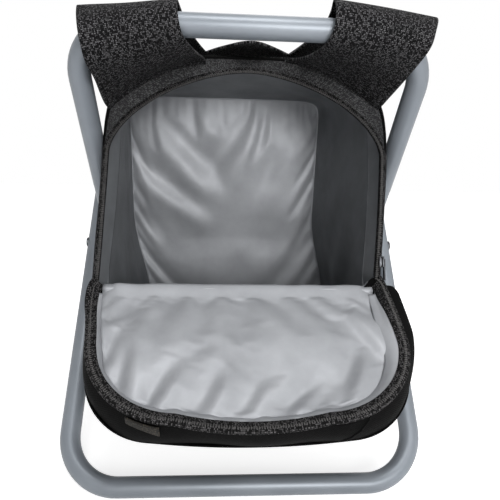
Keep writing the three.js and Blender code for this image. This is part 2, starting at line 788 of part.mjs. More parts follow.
function seatOutline() {
  const edge = BAR_Y;
  const shape = new THREE.Shape();
  const notch = (sign) => {
    const depth = edge - NOTCH_DEPTH;
    shape.lineTo(sign * SLEEVE_INNER_X, sign * edge);
    shape.lineTo(sign * NOTCH_HALF_WIDTH, sign * depth);
    shape.quadraticCurveTo(0, sign * (depth + 2 * NOTCH_SWELL), -sign * NOTCH_HALF_WIDTH, sign * depth);
    shape.lineTo(-sign * SLEEVE_INNER_X, sign * edge);
  };
  shape.moveTo(SEAT_OUTER_X, edge);
  notch(1);
  shape.lineTo(-SEAT_OUTER_X, edge);
  shape.lineTo(-SEAT_OUTER_X, -edge);
  notch(-1);
  shape.lineTo(SEAT_OUTER_X, -edge);
  return shape;
}

const seat = cut(
  extrudeXY(seatOutline(), SEAT_TOP - CLOTH_T, SEAT_TOP),
  pocket(1, CLEAR, -FAR, FAR),
  pocket(-1, CLEAR, -FAR, FAR),
);
addPiece('seat_panel', seat, CLOTH);

function archHeight(x) {
  const share = Math.abs(x) / BAG_HALF_WIDTH;
  const rise = (1 - share ** ARCH_POWER) ** (1 / ARCH_POWER);
  return BAG_SHOULDER + (BAG_CROWN - BAG_SHOULDER) * rise;
}

// One wing: sections from the bag's arch up to the underside of the pocket
function addWeb(name, end, side) {
  const sections = [];
  for (let i = 0; i <= WEB_STEPS; i += 1) {
    const share = i / WEB_STEPS;
    const bagX = side * THREE.MathUtils.lerp(WEB_BAG_INNER_X, WEB_BAG_OUTER_X, share);
    const barX = side * THREE.MathUtils.lerp(SLEEVE_INNER_X, WEB_BAR_OUTER_X, share);
    const z = archHeight(bagX) + CLEAR;
    const faceY = end < 0 ? mouthY(z) : backY(z);
    const pocketY = end * (BAR_Y - SLEEVE_HALF_DEPTH);
    const pocketZ = BAR_TOP_Z - TUBE_R / 2;
    const line = [
      new THREE.Vector3(bagX, faceY - end * WEB_SEAM, z),
      new THREE.Vector3(bagX, faceY, z),
      new THREE.Vector3((bagX + barX) / 2, (faceY + pocketY) / 2, (z + pocketZ) / 2 - WEB_SLACK * share),
      new THREE.Vector3(barX, end * (BAR_Y - WEB_TUCK), pocketZ),
    ];
    const lift = new THREE.Vector3(0, 0, CLOTH_T);
    const upper = line.map((p) => p.clone().add(lift));
    sections.push([...line, ...upper.reverse()]);
  }
  const sheet = cut(loft(sections), pocket(end, CLEAR, -FAR, FAR));
  const roof = extrudeAlongY(bagOutline(-CLEAR), -FAR, FAR);
  addPiece(name, cut(sheet, roof, end < 0 ? frontRoom : rearRoom), CLOTH);
}

addWeb('front_web_left', -1, -1);
addWeb('front_web_right', -1, 1);
addWeb('rear_web_left', 1, -1);
addWeb('rear_web_right', 1, 1);

// Centre the whole over the floor
const box = new THREE.Box3().setFromObject(group);
const shiftY = -(box.min.y + box.max.y) / 2;
for (const mesh of group.children) {
  mesh.geometry.translate(0, shiftY, 0);
}

export default group;
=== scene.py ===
"""Folding cooler stool: bent-tube frame, sling seat and zipped cooler bag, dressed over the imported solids."""
import json
import logging
import math
from dataclasses import dataclass, replace
from enum import Enum

import bmesh
import bpy
import numpy as np
from mathutils import Matrix, Vector


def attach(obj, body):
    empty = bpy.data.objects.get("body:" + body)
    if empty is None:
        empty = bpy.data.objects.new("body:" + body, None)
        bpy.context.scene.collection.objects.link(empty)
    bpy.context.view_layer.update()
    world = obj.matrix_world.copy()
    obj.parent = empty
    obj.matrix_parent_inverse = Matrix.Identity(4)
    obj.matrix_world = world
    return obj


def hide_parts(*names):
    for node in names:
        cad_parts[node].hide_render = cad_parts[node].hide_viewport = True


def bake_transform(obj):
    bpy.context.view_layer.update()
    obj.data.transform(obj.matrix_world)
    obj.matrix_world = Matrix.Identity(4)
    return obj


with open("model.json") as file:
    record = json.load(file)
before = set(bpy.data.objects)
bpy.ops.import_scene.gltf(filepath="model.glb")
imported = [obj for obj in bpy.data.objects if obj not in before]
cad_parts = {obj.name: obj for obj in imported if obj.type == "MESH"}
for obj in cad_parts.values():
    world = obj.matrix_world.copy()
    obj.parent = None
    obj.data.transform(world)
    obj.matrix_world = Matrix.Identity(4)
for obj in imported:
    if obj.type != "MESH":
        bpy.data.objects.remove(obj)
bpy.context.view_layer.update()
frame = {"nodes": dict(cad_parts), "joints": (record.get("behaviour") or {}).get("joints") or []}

LOG = logging.getLogger("cooler_stool")
MM = 0.001
WAVE = 0.314159  # scale at which a wave texture has one band a unit
Array = np.ndarray
Piece = bpy.types.Object
Material = bpy.types.Material
Tree = bpy.types.NodeTree
Node = bpy.types.Node


class Body(str, Enum):
    """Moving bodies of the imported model."""

    OUTER = "outer_frame"
    INNER = "inner_frame"
    BAG = "bag"
    FLAP = "flap"
    SLIDER = "slider"
    PULLER = "puller"


class Slot(str, Enum):
    """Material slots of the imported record."""

    STEEL = "frame_steel"
    ZINC = "zinc_hardware"
    PLASTIC = "black_plastic"
    CLOTH = "black_fabric"
    TAPE = "zipper_tape"
    SILVER = "silver_lining"


class Held(Enum):
    """How a sheet of cloth is held."""

    STRETCHED = "stretched"
    HUNG = "hung"
    FOLDED = "folded"
    GATHERED = "gathered"


class Signed(Enum):
    """A direction, as a sign."""

    @property
    def label(self) -> str:
        """The direction as it stands in the names of pieces."""
        return self.name.lower()


class End(Signed):
    """Which end of the stool, as the sign of Y."""

    FRONT = -1
    REAR = 1


class Side(Signed):
    """Which side of the stool, as the sign of X."""

    LEFT = -1
    RIGHT = 1


# Sizes, in millimetres, with the pivot line at Y 0 and the floor at Z 0


@dataclass(frozen=True)
class FrameSizes:
    """Sizes of the two bent tubes and their pivots."""

    tube_d: float = 19.0
    bend_r: float = 50.0
    reach: float = 258.0
    half_angle: float = math.radians(38)
    fold: float = math.radians(30)
    inner_width: float = 310.0
    side_gap: float = 3.0
    end_gap: float = 0.6
    pin_x: float = 20.0

    @property
    def tube_r(self) -> float:
        """Outer radius of the tube."""
        return self.tube_d / 2

    @property
    def outer_width(self) -> float:
        """Width of the outer loop, outside to outside."""
        return self.inner_width + 2 * (self.tube_d + self.side_gap)

    @property
    def pivot_z(self) -> float:
        """Height of the pivot line."""
        return self.reach * math.cos(self.half_angle) + self.tube_r

    @property
    def bar_y(self) -> float:
        """How far each bar is from the pivot line."""
        return self.reach * math.sin(self.half_angle)


@dataclass(frozen=True)
class BagSizes:
    """Sizes of the cooler bag."""

    half: float = 133.2
    back_half: float = 128.0
    back_shift: float = -20.0
    lean_start: float = 120.0
    lean_full: float = 240.0
    bottom: float = 66.0
    corner: float = 22.0
    shoulder: float = 317.0
    crown: float = 408.0
    back_crown: float = 394.0
    power: float = 3.4
    back_power: float = 12.0
    skew: float = -8.0
    skew_y: tuple[float, float] = (-40.0, -110.0)
    skew_power: float = 2.2
    front: float = -132.0
    back: float = 100.0
    lip: float = 206.0
    lip_sag: float = 10.0
    sag_y: tuple[float, float] = (-100.0, -122.0)
    sag_spread: float = 40.0
    lip_flat: float = 125.0
    lip_end: float = 134.0
    mouth_lean: float = math.radians(15)
    back_lean: float = math.radians(6)
    mouth_half: float = 130.0
    mouth_crown: float = 395.0
    mouth_power: float = 1.7
    wall: float = 8.5
    roll: float = 7.0
    waist: float = 0.008
    welt_r: float = 1.7
    binding_r: float = 1.3
    cloth: float = 1.5
    film: float = 0.8
    tooth: float = 3.0


@dataclass(frozen=True)
class FlapSizes:
    """Sizes of the drop-down flap."""

    half: float = 131.5
    length: float = 139.0
    bulge: float = 8.0
    corner: float = 75.0
    corner_pull: float = 0.55
    root: float = 3.0
    lead: float = -10.5
    crest: float = -6.0
    root_depth: float = 10.0
    end_depth: float = 31.0
    angle: float = math.radians(-122)
    ahead: float = 7.0
    drop: float = 1.0
    rim: float = 2.6
    border: float = 7.0
    leaf: float = 5.0
    tape: float = 8.5
    low_corner: float = 55.0
    low_bulge: float = 5.0
    low_inset: float = 1.0
    roll: float = 4.0
    skew: float = -6.5
    skew_s: tuple[float, float] = (0.0, 80.0)
    widen: float = 0.024
    widen_s: tuple[float, float] = (20.0, 80.0)
    dip_s: tuple[float, float] = (0.0, 70.0)
    floor_root: float = 3.0
    floor_rise: float = 6.0
    floor_full: float = 0.6
    swell: float = 2.0
    swell_left: float = 2.5
    swell_right: float = 11.0
    pleat: float = 9.0
    cloth: float = 1.4
    strip: float = 1.0
    seam_r: float = 0.8
    tooth: float = 3.2


@dataclass(frozen=True)
class ZipperSizes:
    """Sizes that both halves of the zipper share."""

    tape: float = 0.9
    pitch: float = 1.9
    tooth: tuple[float, float] = (1.2, 1.5)


ZIPPER = ZipperSizes()
FRAME = FrameSizes()
BAG = BagSizes()
FLAP = FlapSizes()
PIVOT_Y = next(joint["pos_m"][1] for joint in frame["joints"] if joint["name"] == "fold_rear")


# Small helpers


def to_row(points: Array) -> Array:
    """Turns stool millimetres, with (x, y, z) on the last axis, into row metres."""
    return np.asarray(points, float) * MM + np.array([0.0, PIVOT_Y, 0.0])


def ripple(points: Array, wavelength: float, seed: int, waves: int = 7) -> Array:
    """Smooth seeded unevenness between about -1 and 1.

    Args:
        points: Array whose last axis is (x, y, z) in millimetres.
        wavelength: Usual distance between crests, in millimetres.
        seed: Seed of the random draws.
        waves: How many plane waves are added.

    Returns:
        One value for each point.
    """
    draw = np.random.RandomState(seed)
    total = np.zeros(points.shape[:-1])
    for _ in range(waves):
        direction = draw.normal(size=3)
        direction /= np.linalg.norm(direction)
        length = wavelength * draw.uniform(0.7, 1.5)
        total += np.sin(points @ direction * (2 * math.pi / length) + draw.uniform(0, 2 * math.pi))
    return total / math.sqrt(waves)


def smoothstep(low: float, high: float, value: Array) -> Array:
    """Goes from 0 at low to 1 at high without a corner."""
    share = np.clip((np.asarray(value, float) - low) / (high - low), 0, 1)
    return share * share * (3 - 2 * share)


def travelled(line: Array) -> Array:
    """How far along a polyline each of its points is."""
    return np.r_[0, np.cumsum(np.linalg.norm(np.diff(line, axis=0), axis=1))]


def even(points: Array, count: int) -> Array:
    """Spaces so many points evenly along a polyline."""
    line = np.asarray(points, float)
    steps = travelled(line)
    wanted = np.linspace(0, steps[-1], count)
    return np.stack([np.interp(wanted, steps, line[:, k]) for k in range(line.shape[1])], -1)


def upright(flat: Array, y: float | Array) -> Array:
    """Stands flat (x, z) points up at the given y."""
    return np.stack(np.broadcast_arrays(flat[..., 0], y, flat[..., 1]), -1)


def ruled(start: Array, end: Array, steps: int) -> Array:
    """Grid of straight lines from each point of one line to the same point of another."""
    share = np.linspace(0, 1, steps)[None, :, None]
    return start[:, None] * (1 - share) + end[:, None] * share


def crowded(half: float, count: int) -> Array:
    """Places across a width, closer together towards both edges."""
    return half * np.sin(np.linspace(-math.pi / 2, math.pi / 2, count)) * 0.9995


def eased(count: int) -> Array:
    """Shares from 0 to 1, closer together towards both ends."""
    return (1 - np.cos(np.linspace(0, math.pi, count))) / 2


def outward(line: Array) -> Array:
    """Unit vectors to the outer side of a flat line, at each of its points."""
    tangent = np.gradient(line, axis=0)
    return np.stack([tangent[:, 1], -tangent[:, 0]], -1) / np.linalg.norm(tangent, axis=1)[:, None]


def spline(knots: Array, count: int) -> Array:
    """Smooth curve through knots along the first axis.

    Args:
        knots: Array of knots; the first axis is followed.
        count: How many samples are wanted.

    Returns:
        Samples of a Catmull-Rom curve through the knots.
    """
    knots = np.asarray(knots, float)
    padded = np.concatenate([2 * knots[:1] - knots[1:2], knots, 2 * knots[-1:] - knots[-2:-1]])
    place = np.linspace(0, len(knots) - 1 - 1e-9, count)
    index = place.astype(int)
    t = (place - index).reshape((-1,) + (1,) * (knots.ndim - 1))
    a, b, c, d = (padded[index + k] for k in range(4))
    return 0.5 * (2 * b + (c - a) * t + (2 * a - 5 * b + 4 * c - d) * t**2 + (3 * b - a - 3 * c + d) * t**3)


def edge_distance(points: Array, line: Array) -> Array:
    """Distance from each flat (u, v) point to a polyline of such points."""
    start, step = line[:-1], np.diff(line, axis=0)
    rest = points[..., None, :] - start
    share = np.clip((rest * step).sum(-1) / np.maximum((step * step).sum(-1), 1e-12), 0, 1)
    return np.linalg.norm(rest - share[..., None] * step, axis=-1).min(-1)


def edge_roll(distance: Array, radius: float) -> Array:
    """How far a panel turns back at its rounded edge, for a distance from that edge."""
    inside = np.clip(radius - distance, 0, radius)
    return radius - np.sqrt(radius**2 - inside**2)


def creases(flat: Array, lines: tuple, lean: float = 1.0) -> Array:
    """Height of slack folds on a flat panel.

    Args:
        flat: Flat points of the panel.
        lines: Start, end, width and depth of each fold, in millimetres.
        lean: Below 1, the folds are highest nearer to their start.

    Returns:
        One height a point: a crest on one side of each fold line and a hollow on the other.
    """
    total = np.zeros(flat.shape[:-1])
    for start, end, width, depth in lines:
        step = np.subtract(end, start).astype(float)
        span = np.hypot(*step)
        away = flat - np.array(start, float)
        share = np.clip(away @ step / span**2, 0, 1)
        side = away @ np.array([-step[1], step[0]]) / span / width
        total += depth * side * np.exp(0.5 - side**2) * np.sin(math.pi * share**lean) ** 0.7
    return total


# Materials


def linear(code: str) -> tuple[float, float, float, float]:
    """Turns an sRGB hex code into linear RGBA."""
    parts = [int(code[k : k + 2], 16) / 255 for k in (1, 3, 5)]
    values = [c / 12.92 if c <= 0.04045 else ((c + 0.055) / 1.055) ** 2.4 for c in parts]
    return (*values, 1.0)


def set_inputs(tree: Tree, node: Node, inputs: dict) -> None:
    """Sets or links a node's inputs.

    Args:
        tree: The node's tree.
        node: The node.
        inputs: By input name or index, a value, an output socket, or a node whose first output is meant.
    """
    for name, value in inputs.items():
        if isinstance(value, bpy.types.Node):
            value = value.outputs[0]
        if isinstance(value, bpy.types.NodeSocket):
            tree.links.new(value, node.inputs[name])
        else:
            node.inputs[name].default_value = value


def add_node(tree: Tree, kind: str, inputs: dict | None = None, **settings: object) -> Node:
    """Adds a node, sets it and links it.

    Args:
        tree: Node tree that gets the node.
        kind: The node's type name.
        inputs: As in set_inputs().
        settings: The node's own properties.

    Returns:
        The new node.
    """
    node = tree.nodes.new(kind)
    for name, value in settings.items():
        setattr(node, name, value)
    set_inputs(tree, node, inputs or {})
    return node


def ramp(tree: Tree, share: Node, *stops: tuple[float, str]) -> Node:
    """Adds a colour ramp between two stops."""
    node = add_node(tree, "ShaderNodeValToRGB", {"Fac": share})
    for element, (place, code) in zip(node.color_ramp.elements, stops):
        element.position, element.color = place, linear(code)
    return node


def noise(tree: Tree, size_mm: float, detail: float, **more: float) -> Node:
    """Adds noise in object space, with features of about one size."""
    place = add_node(tree, "ShaderNodeTexCoord").outputs["Object"]
    inputs = {"Vector": place, "Scale": 1 / (size_mm * MM), "Detail": detail, **more}
    return add_node(tree, "ShaderNodeTexNoise", inputs)


def shown_rays(tree: Tree) -> Node:
    """Gives 1 on rays by which the background is seen or mirrored and 0 on rays that light the object."""
    path = add_node(tree, "ShaderNodeLightPath").outputs
    share = path["Is Camera Ray"]
    for ray in ("Is Glossy Ray", "Is Transmission Ray"):
        share = add_node(tree, "ShaderNodeMath", {0: share, 1: path[ray]}, operation="MAXIMUM")
    return share


def start_material(name: str) -> tuple[Material, Tree, Node]:
    """Makes a material whose tree holds only a Principled shader and the output."""
    material = bpy.data.materials.new(name)
    material.use_nodes = True
    tree = material.node_tree
    tree.nodes.clear()
    shader = add_node(tree, "ShaderNodeBsdfPrincipled")
    add_node(tree, "ShaderNodeOutputMaterial", {"Surface": shader})
    return material, tree, shader


def cover(tree: Tree, shader: Node, tint: Node, rough: tuple, bump: tuple, metallic: float) -> None:
    """Gives a shader its colour, roughness and relief.

    Args:
        tree: The shader's tree.
        shader: The Principled shader.
        tint: Node that gives the colour.
        rough: Noise, least and most roughness.
        bump: Noise, strength, and depth in millimetres.
        metallic: How metallic the surface is.
    """
    uneven = add_node(tree, "ShaderNodeMapRange", {"Value": rough[0], "To Min": rough[1], "To Max": rough[2]})
    relief = add_node(tree, "ShaderNodeBump", {"Height": bump[0], "Strength": bump[1], "Distance": bump[2] * MM})
    set_inputs(tree, shader, {"Base Color": tint, "Roughness": uneven, "Normal": relief, "Metallic": metallic})


@dataclass(frozen=True)
class PowderCoat:
    """Satin polyester powder coat on steel tube: soft highlights over a faint orange peel."""

    name: str = "powder_coated_steel"
    colour: str = "#868c93"
    shade: str = "#7d838a"
    peel_mm: float = 1.4

    def make(self) -> Material:
        """Builds the material."""
        material, tree, shader = start_material(self.name)
        peel, cloud = noise(tree, self.peel_mm, 1.0), noise(tree, 60, 3.0)
        tint = ramp(tree, cloud, (0.35, self.shade), (0.65, self.colour))
        cover(tree, shader, tint, (cloud, 0.36, 0.46), (peel, 0.12, 0.05), 0.25)
        return material


@dataclass(frozen=True)
class WovenCloth:
    """Plain-woven polyester: single thread crowns are painted lighter, a painted highlight, and the hollows between
    them painted darker, painted shade.

    The threads are drawn about twice as coarse as the real ones, because those are finer than a pixel.
    """

    name: str
    hollow: str
    crown: str
    thread_mm: float
    relief_mm: float
    rough: float = 0.85
    gloss: float = 0.12
    speck: float = 0.35

    def make(self) -> Material:
        """Builds the material."""
        material, tree, shader = start_material(self.name)
        thread = self.thread_mm * MM
        maths = "ShaderNodeVectorMath"
        flat = add_node(tree, "ShaderNodeUVMap", uv_map="cloth")
        wobble = add_node(tree, "ShaderNodeTexNoise", {"Vector": flat, "Scale": 1 / (4 * thread), "Detail": 2.0})
        shift = add_node(tree, maths, {0: wobble.outputs["Color"], 1: (0.6 * thread,) * 3}, operation="MULTIPLY")
        bent = add_node(tree, maths, {0: flat, 1: shift}, operation="ADD")
        waves = {"Vector": bent, "Scale": WAVE / thread}
        warp, weft = (
            add_node(tree, "ShaderNodeTexWave", waves, bands_direction=way).outputs["Fac"] for way in ("X", "Y")
        )
        over = add_node(tree, "ShaderNodeTexChecker", {"Vector": bent, "Scale": 1 / thread}).outputs["Fac"]
        height = add_node(tree, "ShaderNodeMix", {"Factor": over, "A": warp, "B": weft})
        crossing = add_node(tree, maths, {0: bent, 1: (thread,) * 3}, operation="DIVIDE")
        crossing = add_node(tree, maths, {0: crossing}, operation="FLOOR")
        chance = add_node(tree, "ShaderNodeTexWhiteNoise", {"Vector": crossing}, noise_dimensions="3D")
        spread = {"Value": chance, "From Min": self.speck, "From Max": 1.0, "To Min": 0.12, "To Max": 1.0}
        bright = add_node(tree, "ShaderNodeMapRange", spread)
        mixed = add_node(tree, "ShaderNodeMath", {0: height, 1: bright}, operation="MULTIPLY")
        # Painted shade in the hollows, painted highlight on the crowns.
        tint = ramp(tree, mixed, (0.1, self.hollow), (0.8, self.crown))
        bump = add_node(tree, "ShaderNodeBump", {"Height": height, "Strength": 0.9, "Distance": self.relief_mm * MM})
        looks = {"Base Color": tint, "Normal": bump, "Roughness": self.rough, "Specular IOR Level": self.gloss}
        set_inputs(tree, shader, looks)
        return material


@dataclass(frozen=True)
class SilverFilm:
    """Aluminised plastic film lining: a soft metal sheen broken by fine crinkles."""

    name: str = "silver_film"
    colour: str = "#a6a8ac"
    shade: str = "#94969a"

    def make(self) -> Material:
        """Builds the material."""
        material, tree, shader = start_material(self.name)
        cloud, crinkle = noise(tree, 35, 4.0), noise(tree, 7, 5.0, Roughness=0.6, Distortion=0.6)
        tint = ramp(tree, cloud, (0.3, self.shade), (0.7, self.colour))
        cover(tree, shader, tint, (crinkle, 0.46, 0.6), (crinkle, 0.25, 0.4), 0.25)
        return material


@dataclass(frozen=True)
class PlainFinish:
    """Moulded or plated surface with a fine grain."""

    name: str
    colour: str
    shade: str
    grain_mm: float
    rough: float
    metallic: float = 0.0

    def make(self) -> Material:
        """Builds the material."""
        material, tree, shader = start_material(self.name)
        grain = noise(tree, self.grain_mm, 3.0)
        tint = ramp(tree, grain, (0.3, self.shade), (0.7, self.colour))
        rough = (grain, self.rough - 0.06, self.rough + 0.06)
        cover(tree, shader, tint, rough, (grain, 0.2, 0.08), self.metallic)
        return material


class Finishes:
    """All finishes of the stool, made once."""

    def __init__(self) -> None:
        """Builds every material."""
        self.steel = PowderCoat().make()
        plain, woven = PlainFinish, WovenCloth
        self.zinc = plain("zinc_plate", "#b9bcc0", "#a4a7ab", grain_mm=3.0, rough=0.32, metallic=0.9).make()
        self.gunmetal = plain("gunmetal_plate", "#4a4b4e", "#3a3b3d", grain_mm=3.0, rough=0.34, metallic=0.85).make()
        self.plastic = plain("moulded_nylon", "#1c1d1f", "#141517", grain_mm=2.0, rough=0.45).make()
        self.coil = plain("nylon_coil", "#454342", "#131212", grain_mm=1.6, rough=0.4).make()
        self.thread = plain("sewing_thread", "#2c2a2a", "#1c1a1a", grain_mm=2.0, rough=0.7).make()
        self.coarse = woven("coarse_polyester", "#060607", "#6c6b6d", thread_mm=1.2, relief_mm=0.4).make()
        self.smooth = woven(
            "smooth_polyester", "#040404", "#0e0e0e", thread_mm=0.9, relief_mm=0.12, rough=0.75, gloss=0.05
        ).make()
        # The band's own weave colours, raised lighter as painted light, because the band faces away from the lamps.
        self.band = woven("band_polyester", "#2e2e2f", "#6c6c6d", thread_mm=0.8, relief_mm=0.3).make()
        self.tape = woven("zipper_tape_weave", "#060606", "#626061", thread_mm=1.1, relief_mm=0.3).make()
        self.ribbon = woven("ribbon_weave", "#151412", "#484239", thread_mm=1.2, relief_mm=0.2, rough=0.6).make()
        self.silver = SilverFilm().make()
        # Darker copy of the same silver film, for the side walls, roof and mouth ring: painted shade.
        self.shaded = SilverFilm("silver_film_thin", "#777a7d", "#66686b").make()


# Meshes


def new_object(name: str, points: Array, faces: list, material: Material, uv: Array | None = None) -> Piece:
    """Makes a smooth mesh object in the row frame.

    Args:
        name: Name of the piece.
        points: Corners in stool millimetres.
        faces: Tuples of corner numbers.
        material: Finish of the piece.
        uv: Flat place of each face corner, in metres, in face order.

    Returns:
        The new object, at the origin.
    """
    mesh = bpy.data.meshes.new(name)
    mesh.from_pydata(to_row(points).tolist(), [], [tuple(int(k) for k in f) for f in faces])
    mesh.polygons.foreach_set("use_smooth", [True] * len(mesh.polygons))
    if uv is not None:
        mesh.uv_layers.new(name="cloth").data.foreach_set("uv", np.asarray(uv, np.float32).ravel())
    mesh.materials.append(material)
    mesh.update()
    piece = bpy.data.objects.new(name, mesh)
    bpy.context.scene.collection.objects.link(piece)
    return piece


def surface(name: str, grid: Array, material: Material, closed: bool = False, flip: bool = False) -> Piece:
    """Makes a sheet from a grid of points.

    Args:
        name: Name of the piece.
        grid: Points in millimetres, rows by columns by 3.
        material: Finish of the piece.
        closed: Whether the last row joins the first.
        flip: Whether the faces look the other way.

    Returns:
        The sheet, with its lengths as its cloth map.
    """
    rows, columns = grid.shape[:2]
    ring = np.concatenate([grid, grid[:1]]) if closed else grid
    along = np.linalg.norm(np.diff(ring, axis=0), axis=2).mean(1)
    across = np.linalg.norm(np.diff(ring, axis=1), axis=2).mean(0)
    u = np.r_[0, np.cumsum(along)] * MM
    v = np.r_[0, np.cumsum(across)] * MM
    faces, uv = [], []
    for i in range(len(ring) - 1):
        for j in range(columns - 1):
            loop = [(i, j), (i + 1, j), (i + 1, j + 1), (i, j + 1)]
            if flip:
                loop.reverse()
            faces.append([(a % rows) * columns + b for a, b in loop])
            uv.extend((u[a], v[b]) for a, b in loop)
    piece = new_object(name, grid.reshape(-1, 3), faces, material, np.array(uv))
    return piece


def sheet(piece: Piece, held: Held, *rests_on: str) -> Piece:
    """Passes on a piece made by surface(), unchanged."""
    return piece


def bake(piece: Piece) -> Piece:
    """Turns a piece's modifiers into its mesh."""
    graph = bpy.context.evaluated_depsgraph_get()
    mesh = bpy.data.meshes.new_from_object(piece.evaluated_get(graph), preserve_all_data_layers=True, depsgraph=graph)
    old = piece.data
    piece.modifiers.clear()
    piece.data = mesh
    bpy.data.meshes.remove(old)
    mesh.name = piece.name
    return piece


def thicken(piece: Piece, thickness: float, smooth: int = 0) -> Piece:
    """Gives a sheet its thickness, behind its faces.

    Args:
        piece: The sheet.
        thickness: Thickness in millimetres.
        smooth: Levels of subdivision before the thickness.

    Returns:
        The same piece as a closed body.
    """
    if smooth:
        finer = piece.modifiers.new("finer", "SUBSURF")
        finer.levels = finer.render_levels = smooth
    wall = piece.modifiers.new("wall", "SOLIDIFY")
    wall.thickness, wall.offset = thickness * MM, -1.0
    wall.use_even_offset = False
    return bake(piece)


def lathe(name: str, profile: list, origin: Array, axis: Array, material: Material, sides: int = 40) -> Piece:
    """Turns a closed profile about an axis.

    Args:
        name: Name of the piece.
        profile: (radius, distance along the axis) pairs, in millimetres.
        origin: Point on the axis, in stool millimetres.
        axis: Direction of the axis.
        material: Finish of the piece.
        sides: Steps of the turn.

    Returns:
        The turned piece.
    """
    axis = np.asarray(axis, float) / np.linalg.norm(axis)
    first = np.cross(axis, [0.0, 0.6, 0.8])
    first /= np.linalg.norm(first)
    second = np.cross(axis, first)
    angle = np.arange(sides) * 2 * math.pi / sides
    out = np.cos(angle)[:, None] * first + np.sin(angle)[:, None] * second
    grid = np.array([[np.asarray(origin) + a * axis + r * o for r, a in profile] for o in out])
    piece = surface(name, grid, material, closed=True)
    shape = bmesh.new()
    shape.from_mesh(piece.data)
    bmesh.ops.remove_doubles(shape, verts=shape.verts, dist=1e-6)
    bmesh.ops.holes_fill(shape, edges=shape.edges)
    bmesh.ops.recalc_face_normals(shape, faces=shape.faces)
    shape.to_mesh(piece.data)
    shape.free()
    piece.data.set_sharp_from_angle(angle=math.radians(38))
    return piece


# Geometry Nodes for what follows a path


class PathTrees:
    """Node trees that turn a line of points into a tube or a row of beads."""

    def __init__(self) -> None:
        """Builds both trees."""
        self.tube = self._tube_tree()
        self.beads = self._bead_tree()

    @staticmethod
    def _start(name: str, sizes: tuple[str, ...]) -> tuple[Tree, Node, Node]:
        """Makes a tree with a geometry input, named sizes and a material."""
        tree = bpy.data.node_groups.new(name, "GeometryNodeTree")
        tree.interface.new_socket("Geometry", in_out="INPUT", socket_type="NodeSocketGeometry")
        for size in sizes:
            tree.interface.new_socket(size, in_out="INPUT", socket_type="NodeSocketFloat")
        tree.interface.new_socket("Material", in_out="INPUT", socket_type="NodeSocketMaterial")
        tree.interface.new_socket("Geometry", in_out="OUTPUT", socket_type="NodeSocketGeometry")
        return tree, add_node(tree, "NodeGroupInput"), add_node(tree, "NodeGroupOutput")

    @staticmethod
    def _close(tree: Tree, given: Node, result: Node, shape: Node) -> Tree:
        """Ends a tree with real geometry in the given material."""
        real = add_node(tree, "GeometryNodeRealizeInstances", {"Geometry": shape})
        done = add_node(tree, "GeometryNodeSetMaterial", {"Geometry": real, "Material": given.outputs["Material"]})
        set_inputs(tree, result, {"Geometry": done})
        return tree

    def _tube_tree(self) -> Tree:
        """Tube of a given radius along the line."""
        tree, given, result = self._start("swept_tube", ("Radius",))
        path = add_node(tree, "GeometryNodeMeshToCurve", {"Mesh": given})
        ring = {"Radius": given.outputs["Radius"], "Resolution": 32}
        ring = add_node(tree, "GeometryNodeCurvePrimitiveCircle", ring)
        tube = add_node(tree, "GeometryNodeCurveToMesh", {"Curve": path, "Profile Curve": ring, "Fill Caps": True})
        return self._close(tree, given, result, tube)

    def _bead_tree(self) -> Tree:
        """Small rounded beads at a pitch along the line, each pointing along the aim attribute."""
        tree, given, result = self._start("bead_row", ("Pitch", "Length", "Width", "Height"))
        size = given.outputs
        path = add_node(tree, "GeometryNodeMeshToCurve", {"Mesh": given})
        places = add_node(tree, "GeometryNodeResampleCurve", {"Curve": path, "Length": size["Pitch"]}, mode="LENGTH")
        ball = add_node(tree, "GeometryNodeMeshIcoSphere", {"Radius": 0.5, "Subdivisions": 2})
        scale = {"X": size["Length"], "Y": size["Width"], "Z": size["Height"]}
        scale = add_node(tree, "ShaderNodeCombineXYZ", scale)
        aim = add_node(tree, "GeometryNodeInputNamedAttribute", {"Name": "aim"}, data_type="FLOAT_VECTOR")
        turn = add_node(tree, "FunctionNodeAlignRotationToVector", {"Vector": aim.outputs["Attribute"]}, axis="X")
        beads = {"Points": places, "Instance": ball, "Rotation": turn, "Scale": scale}
        return self._close(tree, given, result, add_node(tree, "GeometryNodeInstanceOnPoints", beads))

    @staticmethod
    def _run(name: str, tree: Tree, line: Array, aims: Array | None, sizes: dict, closed: bool) -> Piece:
        """Runs a tree on a line and keeps the plain mesh."""
        count = len(line)
        mesh = bpy.data.meshes.new(name)
        edges = [(k, (k + 1) % count) for k in range(count if closed else count - 1)]
        mesh.from_pydata(to_row(line).tolist(), edges, [])
        if aims is not None:
            aim = mesh.attributes.new("aim", "FLOAT_VECTOR", "POINT")
            aim.data.foreach_set("vector", np.asarray(aims, np.float32).ravel())
        piece = bpy.data.objects.new(name, mesh)
        bpy.context.scene.collection.objects.link(piece)
        modifier = piece.modifiers.new("path", "NODES")
        modifier.node_group = tree
        named = {item.name: item.identifier for item in tree.interface.items_tree if item.in_out == "INPUT"}
        for key, value in sizes.items():
            modifier[named[key]] = value
        bake(piece)
        piece.data.polygons.foreach_set("use_smooth", [True] * len(piece.data.polygons))
        return piece

    def sweep(self, name: str, line: Array, radius: float, material: Material, closed: bool = False) -> Piece:
        """Sweeps a round tube, of a radius in millimetres, along a line of stool points."""
        return self._run(name, self.tube, line, None, {"Radius": radius * MM, "Material": material}, closed)

    def row(
        self,
        name: str,
        line: Array,
        pitch: float,
        size: tuple[float, float, float],
        material: Material,
        aims: Array | None = None,
    ) -> Piece:
        """Sets beads along a line: stitches along it, or teeth across it.

        Args:
            name: Name of the piece.
            line: Points in stool millimetres.
            pitch: Distance between beads, in millimetres.
            size: Length, width and height of a bead, in millimetres.
            material: Finish of the beads.
            aims: Direction of each bead's length, or None for along the line.

        Returns:
            The beads as a plain mesh.
        """
        if aims is None:
            aims = np.gradient(np.asarray(line, float), axis=0)
        sizes = {"Pitch": pitch * MM, "Length": size[0] * MM, "Width": size[1] * MM, "Height": size[2] * MM}
        return self._run(name, self.beads, line, aims, {**sizes, "Material": material}, False)


# Cloth


